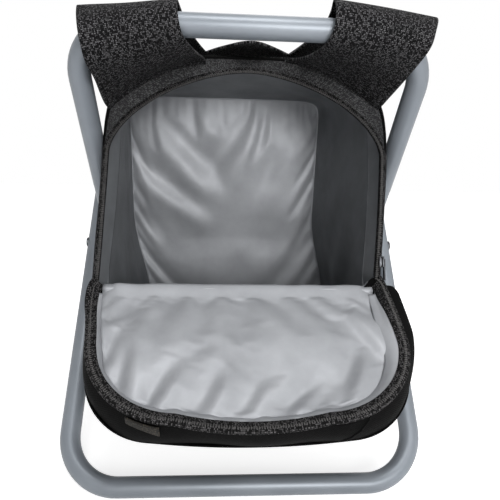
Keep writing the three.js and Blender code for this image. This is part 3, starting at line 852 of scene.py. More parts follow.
@dataclass(frozen=True)
class ClothRun:
    """How a piece of cloth is left to settle."""

    frames: int = 24
    pressure: float = 0.0
    gravity: float = 0.0
    stiffness: float = 12.0
    bending: float = 0.4
    slack: float = 0.0
    cap: float = 8.0
    mass: float = 0.15


TAUT = ClothRun(frames=16, bending=2.0, stiffness=20)


def settle(piece: Piece, pinned: Array, run: ClothRun) -> Piece:
    """Lets a sheet settle as cloth and keeps the result.

    Args:
        piece: The sheet, at the origin.
        pinned: True for each corner that is sewn down.
        run: How the cloth behaves.

    Returns:
        The same piece with the settled shape.
    """
    group = piece.vertex_groups.new(name="sewn")
    group.add([int(k) for k in np.flatnonzero(pinned)], 1.0, "REPLACE")
    start = np.empty(len(piece.data.vertices) * 3, np.float32)
    piece.data.vertices.foreach_get("co", start)
    cloth = piece.modifiers.new("cloth", "CLOTH")
    settings = cloth.settings
    settings.quality = 6
    settings.mass = run.mass
    settings.tension_stiffness = settings.compression_stiffness = run.stiffness
    settings.shear_stiffness = run.stiffness / 2
    settings.bending_stiffness = run.bending
    settings.vertex_group_mass = "sewn"
    settings.shrink_min = -run.slack
    settings.use_pressure = run.pressure != 0
    settings.uniform_pressure_force = run.pressure
    settings.effector_weights.gravity = run.gravity
    cloth.collision_settings.use_collision = False
    scene = bpy.context.scene
    for number in range(1, run.frames + 1):
        scene.frame_set(number)
    settled = np.empty_like(start)
    graph = bpy.context.evaluated_depsgraph_get()
    piece.evaluated_get(graph).data.vertices.foreach_get("co", settled)
    move = (settled - start).reshape(-1, 3)
    far = np.linalg.norm(move, axis=1, keepdims=True)
    move *= np.minimum(1.0, run.cap * MM / np.maximum(far, 1e-9))
    piece.modifiers.clear()
    piece.vertex_groups.clear()
    piece.data.vertices.foreach_set("co", (start.reshape(-1, 3) + move).ravel())
    piece.data.update()
    scene.frame_set(1)
    return piece


def border(rows: int, columns: int, width: int = 1) -> Array:
    """Marks the outermost corners of a grid."""
    mark = np.ones((rows, columns), bool)
    mark[width:-width, width:-width] = False
    return mark.ravel()


def dress(
    piece: Piece, body: Body | tuple, nodes: tuple[str, ...] = (), ends: tuple | None = None
) -> Piece:
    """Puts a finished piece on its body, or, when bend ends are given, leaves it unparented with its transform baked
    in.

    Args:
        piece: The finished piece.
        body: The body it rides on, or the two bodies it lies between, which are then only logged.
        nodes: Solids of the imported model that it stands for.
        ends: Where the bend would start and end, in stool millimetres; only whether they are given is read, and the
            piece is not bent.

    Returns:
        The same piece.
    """
    if ends is None:
        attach(piece, body.value)
    else:
        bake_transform(piece)
    if nodes:
        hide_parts(*nodes)
    LOG.info("%s: %d faces on %s", piece.name, len(piece.data.polygons), body)
    return piece


def pad(
    piece: Piece, pinned: Array, run: ClothRun, wall: float, body: Body, nodes: tuple = ()
) -> None:
    """Settles a padded panel, gives it its thickness and puts it on its body.

    Args:
        piece: The panel, as a sheet.
        pinned: True for each corner that is sewn down.
        run: How the cloth behaves.
        wall: Thickness of the cloth, in millimetres.
        body: The body it rides on.
        nodes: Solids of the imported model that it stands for.
    """
    settle(piece, pinned, run)
    dress(thicken(piece, wall, smooth=1), body, nodes)


# Frame


@dataclass
class TubeFrame:
    """Two bent tubes, crossed at a pivot on each side."""

    finishes: Finishes
    trees: PathTrees
    sizes: FrameSizes = FRAME
    bend_steps: int = 18

    def loop(self, half: float, start: float) -> Array:
        """Middle line of one tube in its own plane.

        Args:
            half: Half width to the middle of the tube.
            start: Height of the bar where the tube's ends meet.

        Returns:
            Flat (u, v) points from one tube end to the other.
        """
        sign, r = math.copysign(1, -start), self.sizes.bend_r
        reach, low, high = half - r, start + sign * r, -start - sign * r
        line = [(self.sizes.end_gap / 2, start)]
        for centre, first in (((reach, low), -90), ((reach, high), 0), ((-reach, high), 90), ((-reach, low), 180)):
            for angle in np.radians(np.linspace(first, first + 90, self.bend_steps)):
                line.append((centre[0] + r * math.cos(angle), centre[1] + sign * r * math.sin(angle)))
        line.append((-self.sizes.end_gap / 2, start))
        return np.array(line)

    def place(self, flat: Array, lean: float) -> Array:
        """Puts flat loop points into the stool."""
        u, v = flat[..., 0], flat[..., 1]
        return np.stack([u, v * math.sin(lean), self.sizes.pivot_z + v * math.cos(lean)], -1)

    def build(self) -> None:
        """Builds the tubes, their end pins and the pivots."""
        s = self.sizes
        loops = (
            ("outer", Body.OUTER, s.outer_width / 2 - s.tube_r, s.half_angle, s.reach),
            ("inner", Body.INNER, s.inner_width / 2 - s.tube_r, -s.half_angle, -s.reach),
        )
        profile = [(0, 1.3), (2.0, 1.2), (3.1, 0.7), (3.5, 0.1), (3.5, -0.3), (0, -0.3)]
        for name, body, half, lean, start in loops:
            line = self.place(self.loop(half, start), lean)
            tube = self.trees.sweep(f"{name}_loop", line, s.tube_r, self.finishes.steel)
            tube.data.set_sharp_from_angle(angle=math.radians(60))
            dress(tube, body, (f"{name}_frame_tube", f"{name}_joint_sleeve"))
            inward = -math.copysign(1, start) * np.array([0, math.sin(lean), math.cos(lean)])
            for side in Side:
                origin = self.place(np.array([side.value * s.pin_x, start]), lean) + inward * s.tube_r
                pin = lathe(f"{name}_end_pin_{side.label}", profile, origin, inward, self.finishes.zinc, sides=24)
                dress(pin, body, (f"{name}_joint_rivet_{side.label}",))
        for side in Side:
            self.pivot(side)

    def pivot(self, side: Side) -> None:
        """Builds one pivot: cap, rivet, spacer and washer."""
        s, label, f = self.sizes, side.label, self.finishes
        origin, axis = np.array([0, 0, s.pivot_z]), np.array([side.value, 0.0, 0.0])
        outer, inner = s.outer_width / 2, s.inner_width / 2
        cap = [
            (0, outer + 1.3), (4.2, outer + 1.2), (5.2, outer + 0.9), (5.6, outer + 0.3), (5.0, outer + 0.3),
            (5.0, outer + 0.8), (0, outer + 0.8),
        ]
        rivet = [
            (0, outer + 0.7), (4.0, outer + 0.6), (4.6, outer + 0.3), (3.0, outer + 0.2), (3.0, inner - 20.4),
            (6.0, inner - 20.6), (5.0, inner - 21.3), (0, inner - 21.4),
        ]
        spacer, washer = (
            [(bore, low), (radius, low), (radius, high), (bore, high), (bore, low)]
            for bore, radius, low, high in ((3.4, 7, inner + 0.3, inner + 2.7), (3.4, 6, inner - 20.1, inner - 19.3))
        )
        for name, profile, finish, slot in (
            ("cap", cap, f.plastic, Slot.PLASTIC),
            ("rivet", rivet, f.zinc, Slot.ZINC),
            ("spacer", spacer, f.plastic, Slot.PLASTIC),
            ("washer", washer, f.zinc, Slot.ZINC),
        ):
            piece = lathe(f"pivot_{name}_turned_{label}", profile, origin, axis, finish)
            dress(piece, Body.OUTER, (f"pivot_{name}_{label}",))


# Bag


def lip_dip(x: Array) -> Array:
    """How far the soft lip sags between its ends, at a place across it."""
    return BAG.lip_sag * (1 - smoothstep(BAG.lip_flat, BAG.lip_end, np.abs(x - BAG.skew)))


@dataclass
class CoolerBag:
    """Box-shaped bag with an arched, leaning mouth and a silver lining."""

    finishes: Finishes
    trees: PathTrees
    sizes: BagSizes = BAG
    loop_points: int = 220
    columns: int = 72

    def outline(self, inset: float, back: bool) -> Array:
        """Outline of the bag seen from the front.

        Args:
            inset: How far inside the outer face.
            back: Whether it is the back outline, which is narrower and lower.

        Returns:
            Closed, evenly spaced (x, z) points from the middle of the bottom, going right.
        """
        s = self.sizes
        half = (s.back_half if back else s.half) - inset
        crown = (s.back_crown if back else s.crown) - inset
        corner, bottom = s.corner - inset, s.bottom + inset
        power = s.back_power if back else s.power
        turn = np.radians(np.linspace(-90, 0, 10))
        foot = np.stack([half - corner + corner * np.cos(turn), bottom + corner + corner * np.sin(turn)], -1)
        angle = (1 - np.cos(np.linspace(0, math.pi, 120))) * math.pi / 4
        arch = np.stack(
            [
                half * np.cos(angle) ** (2 / power),
                s.shoulder + (crown - s.shoulder) * np.sin(angle) ** (2 / power),
            ],
            -1,
        )
        right = np.vstack([[[0, bottom]], foot, arch])
        right = even(right, self.loop_points // 2 + 1)
        left = right[::-1][1:-1] * [-1, 1]
        loop = np.vstack([right, left])
        if back:
            loop[:, 0] += self.lean(loop[:, 1])
        return loop

    def lean(self, z: Array) -> Array:
        """How far the back of the bag leans to one side at a height."""
        return self.sizes.back_shift * smoothstep(self.sizes.lean_start, self.sizes.lean_full, z)

    def front_y(self, z: Array, inset: float = 0.0) -> Array:
        """Y of the front face or mouth plane at a height, some way behind it."""
        s = self.sizes
        rise = np.maximum(np.asarray(z, float) - s.lip, 0)
        return s.front + rise * math.tan(s.mouth_lean) + inset

    def back_y(self, z: Array, inset: float = 0.0) -> Array:
        """Y of the back face at a height, some way inside it."""
        s = self.sizes
        rise = np.maximum(np.asarray(z, float) - s.lip, 0)
        return s.back - rise * math.tan(s.back_lean) - inset

    def hang(self, points: Array) -> Array:
        """Lets the open front of the bag hang a little to one side.

        Args:
            points: Points in stool millimetres.

        Returns:
            The same points, moved most at the lip and not at all at the crown and the pivots.
        """
        s = self.sizes
        above = np.clip((s.mouth_crown - points[..., 2]) / (s.mouth_crown - s.lip), 0, 1)
        near = smoothstep(*s.skew_y, points[..., 1]) * smoothstep(s.bottom, s.lip, points[..., 2])
        moved = np.array(points, float)
        moved[..., 0] += s.skew * above**s.skew_power * near
        close = np.exp(-(((points[..., 2] - s.lip) / s.sag_spread) ** 2)) * smoothstep(*s.sag_y, points[..., 1])
        moved[..., 2] -= lip_dip(points[..., 0]) * close
        return moved

    def side_wall(self, inset: float, front_gap: float | Array, back_gap: float, steps: int) -> Array:
        """Grid of the wall that runs round the bag from front to back."""
        front, back = self.outline(inset, False), self.outline(inset, True)
        start = upright(front, self.front_y(front[:, 1], front_gap))
        end = upright(back, self.back_y(back[:, 1], back_gap))
        return self.hang(ruled(start, end, steps))

    def panel(self, inset: float, back: bool, top: float | None, rows: int) -> tuple[Array, Array]:
        """Flat grid of a front or back panel.

        Args:
            inset: How far inside the outer face.
            back: Whether it is the back panel.
            top: Height where the panel is cut off, or None.
            rows: Rows of the grid.

        Returns:
            The (x, z) grid, columns by rows, and the outline.
        """
        loop = self.outline(inset, back)
        right = loop[: self.loop_points // 2 + 1].copy()
        if back:
            right[:, 0] -= self.lean(right[:, 1])
        x = crowded(right[:, 0].max(), self.columns)
        widest = int(np.argmax(right[:, 0]))
        low = np.interp(np.abs(x), right[: widest + 1, 0], right[: widest + 1, 1])
        rest = right[widest:][::-1]
        high = np.interp(np.abs(x), rest[:, 0], rest[:, 1])
        if top is not None:
            high = np.full_like(x, top)
        z = low[:, None] + (high - low)[:, None] * eased(rows)
        shift = self.lean(z) if back else 0 * z
        return np.stack([x[:, None] + shift, z], -1), np.vstack([loop, loop[:1]])

    def arch(self, count: int, grow: float = 0.0, foot: float = 0.0) -> Array:
        """Mouth line from the right lip corner over the crown to the left one.

        Args:
            count: How many points.
            grow: How far outside the mouth line.
            foot: How far below the lip it starts and ends.

        Returns:
            Evenly spaced (x, z) points.
        """
        s = self.sizes
        angle = np.linspace(0, math.pi, 160)
        cosine, sine = np.cos(angle), np.sin(angle)
        half, rise = s.mouth_half + grow, s.mouth_crown - s.shoulder + grow
        x = half * np.sign(cosine) * np.abs(cosine) ** (2 / s.mouth_power)
        z = s.shoulder + rise * sine ** (2 / s.mouth_power)
        line = np.vstack([[[half, s.lip - foot]], np.stack([x, z], -1), [[-half, s.lip - foot]]])
        return even(line, count)

    def mouth_frame(self, flat: Array, ahead: float | Array = 0.0) -> Array:
        """Puts (x, z) points on the mouth plane, some way in front of it."""
        lean = self.sizes.mouth_lean
        y = self.front_y(flat[..., 1]) - ahead / math.cos(lean)
        return self.hang(upright(flat, y))

    def flange_grid(
        self, behind: tuple[float, float], inset: float, grow: float, columns: int = 10, foot: float = 0.0
    ) -> Array:
        """Grid of the band between the mouth line and the bag's edge.

        Args:
            behind: How far behind the mouth plane it starts and ends.
            inset: How far inside the bag's edge it ends.
            grow: How far outside the mouth line it starts.
            columns: Columns of the grid.
            foot: How far below the lip it reaches.

        Returns:
            Points in stool millimetres, along the mouth by across the band.
        """
        s = self.sizes
        inner = self.arch(count=180, grow=grow, foot=foot)
        centre = np.array([0.0, s.shoulder])
        ray = inner - centre
        half, rise = s.half - inset, s.crown - inset - s.shoulder
        length = (np.abs(ray[:, 0] / half) ** s.power + np.abs(ray[:, 1] / rise) ** s.power) ** (-1 / s.power)
        below = np.stack([np.sign(ray[:, 0]) * half, inner[:, 1]], -1)
        outer = np.where(ray[:, 1:] > 0, centre + ray * length[:, None], below)
        deep = np.linspace(behind[0], behind[1], columns)[None]
        return self.mouth_frame(ruled(inner, outer, columns), -deep)

    def build(self) -> None:
        """Builds the shell, then the lining."""
        self.shell()
        self.lining()

    @staticmethod
    def press(points: Array, clear: float) -> Array:
        """Presses the bag's side in where the inner tube swings past it as the stool folds.

        Args:
            points: Points of the side wall, in stool millimetres.
            clear: How far the wall stays from the tube.

        Returns:
            The same points, kept clear of the tube.
        """
        y, z = points[..., 1], points[..., 2] - FRAME.pivot_z
        angle = np.arctan2(-y * np.where(z < 0, -1, 1), np.abs(z))
        outside = np.maximum(FRAME.half_angle - FRAME.fold - angle, angle - FRAME.half_angle)
        from_sweep = np.hypot(y, z) * np.sin(np.clip(outside, 0, math.pi / 2))
        near = np.exp(-((from_sweep / (FRAME.tube_r + 4)) ** 4))
        limit = FRAME.inner_width / 2 - FRAME.tube_d - clear
        over = np.maximum(np.abs(points[..., 0]) - limit, 0)
        pressed = np.array(points, float)
        pressed[..., 0] -= np.sign(points[..., 0]) * over * near
        return pressed

    def shell(self) -> None:
        """Builds the black outside."""
        s, f = self.sizes, self.finishes
        steps = 44
        wall = self.side_wall(inset=0.0, front_gap=3.0, back_gap=s.roll, steps=steps)
        wall[..., 0] *= 1 - s.waist * np.sin(np.linspace(0, math.pi, steps))
        wall += ripple(wall, 70, seed=3)[..., None] * np.array([0.6, 0.0, 0.5])
        wall = self.press(wall, clear=3.3)
        gusset = thicken(surface("bag_gusset", wall, f.coarse, closed=True), s.cloth)
        sheet(dress(gusset, Body.BAG, ("bag_shell",)), Held.STRETCHED, "bag_back_panel", "bag_front_panel")

        flat, loop = self.panel(inset=0.0, back=True, top=None, rows=64)
        y = self.back_y(flat[..., 1]) - edge_roll(edge_distance(flat, loop), s.roll)
        back = surface("bag_back_panel", upright(flat, y), f.smooth)
        run = replace(TAUT, pressure=1.2, cap=5.0)
        pad(back, border(*flat.shape[:2], width=3), run, s.cloth, Body.BAG)

        flat, loop = self.panel(inset=0.0, back=False, top=s.lip, rows=40)
        y = s.front + edge_roll(edge_distance(flat, loop), s.roll)
        front = surface("bag_front_panel", self.hang(upright(flat, y)), f.smooth, flip=True)
        run = replace(TAUT, pressure=-1.2, cap=4.0)
        pad(front, border(*flat.shape[:2], width=3), run, s.cloth, Body.BAG)

        band = self.flange_grid(behind=(0.0, 0.0), inset=0.5, grow=0.0)
        share = np.linspace(0, 1, band.shape[1])
        band[..., 1] += edge_roll(share * 12, radius=4.0)[::-1] * 0.9
        # The band's lighter weave colours are partly painted light.
        band = surface("mouth_band", band, f.band, flip=True)
        sheet(dress(thicken(band, s.cloth), Body.BAG), Held.STRETCHED, "bag_gusset")

        for name, back_edge, inset in (("front_welt", False, 0.6), ("back_welt", True, 0.8)):
            line = self.outline(inset, back_edge)
            y = self.back_y(line[:, 1], 5.5) if back_edge else self.front_y(line[:, 1], 2.2)
            welt = self.trees.sweep(name, self.hang(upright(line, y)), s.welt_r, f.smooth, closed=True)
            dress(welt, Body.BAG)

    @staticmethod
    def folds(flat: Array) -> Array:
        """Slack folds of the back lining: how far back each (x, z) point lies."""
        lines = (
            ((-128, 372), (-24, 268), 19, 5.5),
            ((-142, 306), (-34, 226), 16, 5.0),
            ((-142, 250), (-100, 200), 12, 3.0),
            ((36, 386), (-30, 286), -19, 5.5),
            ((70, 350), (24, 240), -16, 2.0),
            ((-60, 366), (-16, 340), 9, 2.0),
        )
        return creases(flat, lines)

    def lining(self) -> None:
        """Builds the silver inside."""
        s, f = self.sizes, self.finishes
        gap = 8.0 + 16.0 * smoothstep(s.lip - 30, s.lip - 5, self.outline(s.wall, False)[:, 1])
        steps = 40
        wall = self.side_wall(s.wall, gap, s.wall, steps)
        inside = np.sin(np.linspace(0, math.pi, steps))[:, None]
        wall += ripple(wall, 55, seed=11)[..., None] * np.array([1.4, 0.0, 1.0]) * inside
        wall = self.press(wall, clear=6.0)
        # The side walls and roof take the darker copy of the silver film: painted shade.
        sides = thicken(surface("lining_sides", wall, f.shaded, closed=True, flip=True), s.film)
        sheet(dress(sides, Body.BAG, ("bag_liner", "bag_insulation")), Held.HUNG, "bag_gusset")

        flat, loop = self.panel(s.wall, back=True, top=None, rows=72)
        points = upright(flat, self.back_y(flat[..., 1], s.wall))
        away = smoothstep(0, 14, edge_distance(flat, loop))
        points[..., 1] += (ripple(points, 60, seed=5) * 0.8 + self.folds(flat)) * away
        back = surface("lining_back", points, f.silver, flip=True)
        run = ClothRun(frames=34, gravity=0.6, slack=0.014, cap=5.0, bending=0.05, stiffness=10)
        pad(back, border(*flat.shape[:2]), run, s.film, Body.BAG)

        flat, _ = self.panel(s.wall, back=False, top=s.lip - 5, rows=30)
        front = upright(flat, s.front + s.wall)
        front[..., 1] += ripple(front, 50, seed=8) * 0.8
        front = self.hang(front)
        front = dress(thicken(surface("lining_front", front, f.silver), s.film), Body.BAG)
        sheet(front, Held.HUNG, "bag_front_panel")

        ring = self.flange_grid(behind=(4.0, 26.0), inset=s.wall + 1.6, grow=-0.4, columns=14, foot=16.0)
        # The mouth ring takes the darker copy of the silver film: painted shade.
        ring = dress(thicken(surface("lining_mouth_band", ring, f.shaded), s.film), Body.BAG)
        sheet(ring, Held.STRETCHED, "mouth_band")

        line = self.outline(s.wall + 0.6, True)
        line = upright(line, self.back_y(line[:, 1], s.wall + 1.2))
        binding = self.trees.sweep("lining_back_binding", line, s.binding_r, f.silver, closed=True)
        dress(binding, Body.BAG)


# Flap


@dataclass
class DropFlap:
    """Padded front flap, open and hanging forward from the lip."""

    finishes: Finishes
    trees: PathTrees
    sizes: FlapSizes = FLAP
    columns: int = 72

    def place(self, x: Array, s: Array, n: Array) -> Array:
        """Puts flap points (across, down the flap, outward) into the stool."""
        z = self.sizes
        sine, cosine = math.sin(z.angle), math.cos(z.angle)
        y0, z0 = BAG.front - z.ahead, BAG.lip - z.drop
        across = x * (1 + z.widen * (1 - smoothstep(*z.widen_s, s))) + z.skew * (1 - smoothstep(*z.skew_s, s))
        height = z0 + s * cosine + n * sine - lip_dip(across) * (1 - smoothstep(*z.dip_s, s))
        return np.stack(np.broadcast_arrays(across, y0 + s * sine - n * cosine, height), -1)

    def outline(self, inset: float, count: int = 200, low: bool = False) -> Array:
        """Open outline from the right root corner round the free edge to the left one.

        Args:
            inset: How far inside the edge.
            count: How many points.
            low: Whether it is the lower edge, which has tighter corners.

        Returns:
            Evenly spaced (x, s) points.
        """
        z = self.sizes
        half, end = z.half - inset, z.length - inset
        corner, bulge = (z.low_corner, z.low_bulge) if low else (z.corner - inset, z.bulge)
        pull, swell, middle = corner * (1 - z.corner_pull), end + 1, end + 2 * bulge - 1
        t = np.linspace(0, 1, 60)[:, None]
        knots = ((half, end - corner), (half, end - pull), (half - pull, end), (half - corner, swell))
        knots = [np.array(knot) for knot in knots]
        turn = sum(c * k for c, k in zip(((1 - t) ** 3, 3 * t * (1 - t) ** 2, 3 * t**2 * (1 - t), t**3), knots))
        lift = (middle - swell) * 0.5 * (1 - (1 - t[:, 0]) ** 2)
        free = np.stack([(half - corner) * (1 - t[:, 0]), swell + lift], -1)
        right = np.vstack([[[half, z.root]], turn, free[1:]])
        line = np.vstack([right, right[::-1][1:] * [-1, 1]])
        return even(line, count)

    def depth(self, s: Array) -> Array:
        """How far out the outer panel lies at a place down the flap."""
        z = self.sizes
        return z.root_depth + (z.end_depth - z.root_depth) * np.asarray(s, float) / z.length

    def grid(self, inset: float, rows: int, low: bool = False, start: float = FLAP.root) -> tuple[Array, Array]:
        """Flat (x, s) grid inside the outline, columns by rows from a starting place, and the outline."""
        line = self.outline(inset, count=400, low=low)
        x = crowded(line[:, 0].max(), self.columns)
        right = line[: len(line) // 2 + 1]
        order = np.argsort(right[:, 0])
        end = np.interp(np.abs(x), right[order, 0], np.maximum.accumulate(right[order][::-1, 1])[::-1])
        s = start + (end - start)[:, None] * eased(rows)
        return np.stack([np.repeat(x[:, None], rows, 1), s], -1), line

    def build(self) -> None:
        """Builds the outside, the lining, the zipper edge and the tab."""
        self.shell()
        self.lining()
        self.edge()
        self.hinge()

    def shell(self) -> None:
        """Builds the black outer panel and its side wall."""
        z, f = self.sizes, self.finishes
        flat, line = self.grid(z.low_inset, rows=48, low=True)
        away = edge_distance(flat, line)
        n = self.depth(flat[..., 1]) - edge_roll(away, z.roll)
        panel = surface("flap_outer_panel", self.place(flat[..., 0], flat[..., 1], n), f.smooth, flip=True)
        run = replace(TAUT, pressure=-1.0, cap=3.0)
        nodes = ("flap_shell", "flap_insulation")
        pad(panel, border(*flat.shape[:2], width=3), run, z.cloth, Body.FLAP, nodes=nodes)
        line, lower = self.outline(inset=0.0, count=240), self.outline(z.low_inset, count=240, low=True)
        share = np.linspace(0, 1, 16)[None]
        low = (self.depth(lower[:, 1]) - z.roll)[:, None]
        n = z.rim + (low - z.rim) * share
        out = outward(line)
        full = np.where(out[:, :1] > 0, z.swell_right, z.swell_left)
        swell = z.swell + (full - z.swell) * np.abs(out[:, :1]) * (1 - smoothstep(50, 100, line[:, 1:]))
        swell = swell * np.sin(math.pi * share) * smoothstep(-14, 12, line[:, 1:])
        flat = ruled(line, lower, share.size) + out[:, None] * swell[..., None]
        wall = self.place(flat[..., 0], flat[..., 1], n)
        wall += ripple(wall, 45, seed=21)[..., None] * 0.5
        wall_piece = dress(thicken(surface("flap_side_wall", wall, f.smooth), z.cloth), Body.FLAP)
        sheet(wall_piece, Held.STRETCHED, "flap_outer_panel")
        first, last = (int(np.argmin(np.abs(line[:, 0] - x) + (line[:, 1] < 80) * 500)) for x in (86, 66))
        slanted = np.linspace(first, last, wall.shape[1]).round().astype(int)
        seam = self.trees.sweep("flap_dart_seam", wall[slanted, np.arange(wall.shape[1])], z.seam_r, f.smooth)
        dress(seam, Body.FLAP)

    def floor(self, flat: Array) -> Array:
        """How far out the lining's floor lies."""
        z = self.sizes
        return z.floor_root + z.floor_rise * smoothstep(z.root, z.length * z.floor_full, flat[..., 1])

    def gathers(self, flat: Array, line: Array) -> Array:
        """Soft gathers of the floor, which run in from its sewn free edge.

        Args:
            flat: (x, s) points of the floor.
            line: The floor's outline.

        Returns:
            How far each point rises.
        """
        gap = np.linalg.norm(flat[..., None, :] - line, axis=-1)
        arc, away = travelled(line)[gap.argmin(-1)], gap.min(-1)
        along = np.stack([arc, 0 * arc, 0 * arc], -1)
        phase = 2 * math.pi * arc / self.sizes.pleat + 1.6 * ripple(along, 60, seed=33)
        pleats = 0.7 * np.exp(-away / 7) * (1 - np.exp(-away / 2)) * np.sin(phase) * smoothstep(70, 110, flat[..., 1])
        lines = (
            ((-114, 96), (-104, 48), 8, 1.4),
            ((-94, 124), (-98, 40), 9, 2.4),
            ((-78, 129), (-55, 84), 9, 2.4),
            ((-37, 130), (-18, 88), 9, 2.0),
            ((-6, 131), (12, 100), 8, 1.4),
            ((24, 130), (58, 98), 9, 2.0),
            ((48, 129), (68, 100), 8, 1.3),
            ((68, 127), (96, 66), 10, 1.9),
            ((110, 84), (90, 28), 10, 1.5),
        )
        return pleats + 1.9 * creases(flat, lines, lean=0.6)

    def lining(self) -> None:
        """Builds the padded silver floor and the strip round it."""
        z, f = self.sizes, self.finishes
        flat, line = self.grid(z.tape + 1.5, rows=78, start=z.lead)
        away, down = edge_distance(flat, line), flat[..., 1]
        sewn = 1.2 * (1 - smoothstep(0, 5, away))
        puffed = 1.8 * (smoothstep(4, 28, away) * smoothstep(14, 45, down))
        crest = 2.1 * (1 - smoothstep(z.crest, 14, down))
        tucked = 0.23 * np.maximum(z.crest - down, 0) ** 2
        corners = 5.0 * smoothstep(104, 122, np.abs(flat[..., 0])) ** 2 * (1 - smoothstep(-8, 10, down))
        n = self.floor(flat) + sewn - puffed - self.gathers(flat, line) - crest + tucked + corners
        points = self.place(flat[..., 0], flat[..., 1], n)
        points += ripple(points, 30, seed=31)[..., None] * np.array([0, 0.15, 0.3])
        floor = surface("flap_lining_floor", points, f.silver)
        pinned = border(*flat.shape[:2]) | (down.ravel() < 9)
        run = ClothRun(frames=24, pressure=0.08, slack=0.012, cap=3.0, bending=0.3, stiffness=10)
        pad(floor, pinned, run, BAG.film, Body.FLAP, nodes=("flap_liner",))
        outer = self.outline(z.tape - 0.6)
        leaf = np.sin(math.pi * np.clip((outer[:, 1] - 4) / 110, 0, 1)) * smoothstep(60, 115, outer[:, 0])
        narrow = 1 - 0.5 * smoothstep(60, 115, -outer[:, 0])
        inner = outer - outward(outer) * (z.border * narrow + z.leaf * leaf)[:, None]
        share = np.linspace(0, 1, 10)[None]
        strip = ruled(inner, outer, share.size)
        low, high = self.floor(inner)[:, None] - 0.5, z.rim
        n = low + (high - low) * share - 1.0 * np.sin(math.pi * share)
        strip = self.place(strip[..., 0], strip[..., 1], n)
        strip += ripple(strip, 16, seed=41)[..., None] * 0.35
        strip = thicken(surface("flap_lining_border", strip, f.silver, flip=True), BAG.film)
        sheet(dress(strip, Body.FLAP), Held.GATHERED, "flap_lining_floor", "flap_zipper_band")

    @staticmethod
    def reach_lip(line: Array) -> Array:
        """Adds a point at each end of an outline, up where the mouth's tape ends."""
        ends = line[[0, -1]] * [0.985, 0] - [0, 7.0]
        return np.vstack([ends[:1], line, ends[1:]])

    def edge(self) -> None:
        """Builds the zipper tape, its teeth and the pull tab."""
        z, f = self.sizes, self.finishes
        inner, outer = self.outline(z.tape), self.outline(inset=0.2)
        n = [2.2, 1.4, 0.9, 0.7, 0.9, 1.4, 2.4]
        share = [0.0, 0.25, 0.5, 0.75, 0.93, 1.0, 1.0]
        rows = [self.place(*self.reach_lip(inner * (1 - a) + outer * a).T, b) for a, b in zip(share, n)]
        tape = surface("flap_zipper_band", np.stack(rows, 1), f.tape, flip=True)
        dress(thicken(tape, ZIPPER.tape, smooth=1), Body.FLAP, ("flap_zipper_tape",))
        sheet(tape, Held.STRETCHED, "flap_side_wall")
        line = self.reach_lip(self.outline(inset=3.4, count=300))
        middle = self.place(line[:, 0], line[:, 1], 0.2)
        across = np.gradient(line, axis=0)[:, ::-1] * [1, -1]
        aims = self.place(across[:, 0], across[:, 1], 0.0) - self.place(0.0, 0.0, 0.0)
        teeth = self.trees.row("flap_zipper_teeth", middle, ZIPPER.pitch, (z.tooth, *ZIPPER.tooth), f.coil, aims)
        dress(teeth, Body.FLAP)
        self.tab()

    def tab(self) -> None:
        """Builds the ribbon tab that hangs from the free edge."""
        line = self.outline(inset=-1.4, count=400)
        part = line[(line[:, 0] > -92) & (line[:, 0] < -66) & (line[:, 1] > 73)]
        part = even(part, 16)
        n = np.linspace(2.0, 21.0, 12)[None]
        slant = np.linspace(1.0, 0.8, 16)[:, None]
        grid = self.place(part[:, :1], part[:, 1:] + 1.6 + 0.6 * np.sin(n / 5), n * slant)
        tab = thicken(surface("ribbon_tab", grid, self.finishes.ribbon), 0.8)
        sheet(dress(tab, Body.FLAP, ("pull_tab",)), Held.HUNG, "flap_zipper_band")

    def over_lip(self, knots: Array, steps: int, wave: float = 0.0) -> Array:
        """Grid of a strip all along the lip.

        Args:
            knots: (y, z) points that the strip runs through, from the bag to the flap.
            steps: Steps of the curve through them.
            wave: Height of its unevenness.

        Returns:
            Points in stool millimetres.
        """
        half = BAG.half - BAG.wall - 0.5
        x, curve = np.linspace(-half, half, 60), spline(knots, steps)
        grid = np.stack(np.broadcast_arrays(x[:, None], curve[None, :, 0], curve[None, :, 1]), -1)
        grid[..., 2] += wave * ripple(grid, 40, seed=51)
        grid[..., 0] += self.sizes.skew
        grid[..., 2] -= lip_dip(grid[..., 0])
        return grid

    def hinge(self) -> None:
        """Builds the cloth that turns over the lip between the bag and the flap."""
        z, f = self.sizes, self.finishes
        level = np.array([0, 0, BAG.lip_sag])
        turn, root = self.place(0.0, z.root - 2.0, 4.5) + level, self.place(0.0, z.root + 9.0, 6.5) + level
        knots = np.array(
            [
                [BAG.front + BAG.wall + 1.5, BAG.lip - 11.0],
                [BAG.front + BAG.wall - 1.0, BAG.lip - 2.0],
                [BAG.front + 1.0, BAG.lip + 0.4],
                [BAG.front - z.ahead * 0.6, BAG.lip - 1.2],
                [turn[1], turn[2]],
                [root[1], root[2]],
            ]
        )
        over = thicken(surface("lip_lining", self.over_lip(knots, steps=24, wave=0.5), f.silver), z.strip)
        ends = ((0, BAG.front + 1.0, BAG.lip), (0, BAG.front - z.ahead, BAG.lip - 1.0))
        dress(over, (Body.BAG, Body.FLAP), ("hinge_strip",), ends)
        sheet(over, Held.FOLDED, "lining_front", "flap_lining_floor")
        under = self.place(0.0, z.root + 1.0, z.root_depth - 1.0) + level
        knots = np.array([[BAG.front - 0.8, BAG.lip - 16.0], [BAG.front - 1.6, BAG.lip - 10.0], [under[1], under[2]]])
        low = thicken(surface("lip_outer_strip", self.over_lip(knots, steps=14), f.smooth), z.strip)
        ends = tuple((0, y, height - BAG.lip_sag) for y, height in (knots[1], knots[2]))
        dress(low, (Body.BAG, Body.FLAP), (), ends)
        sheet(low, Held.FOLDED, "bag_front_panel", "flap_outer_panel")


# Zipper on the mouth


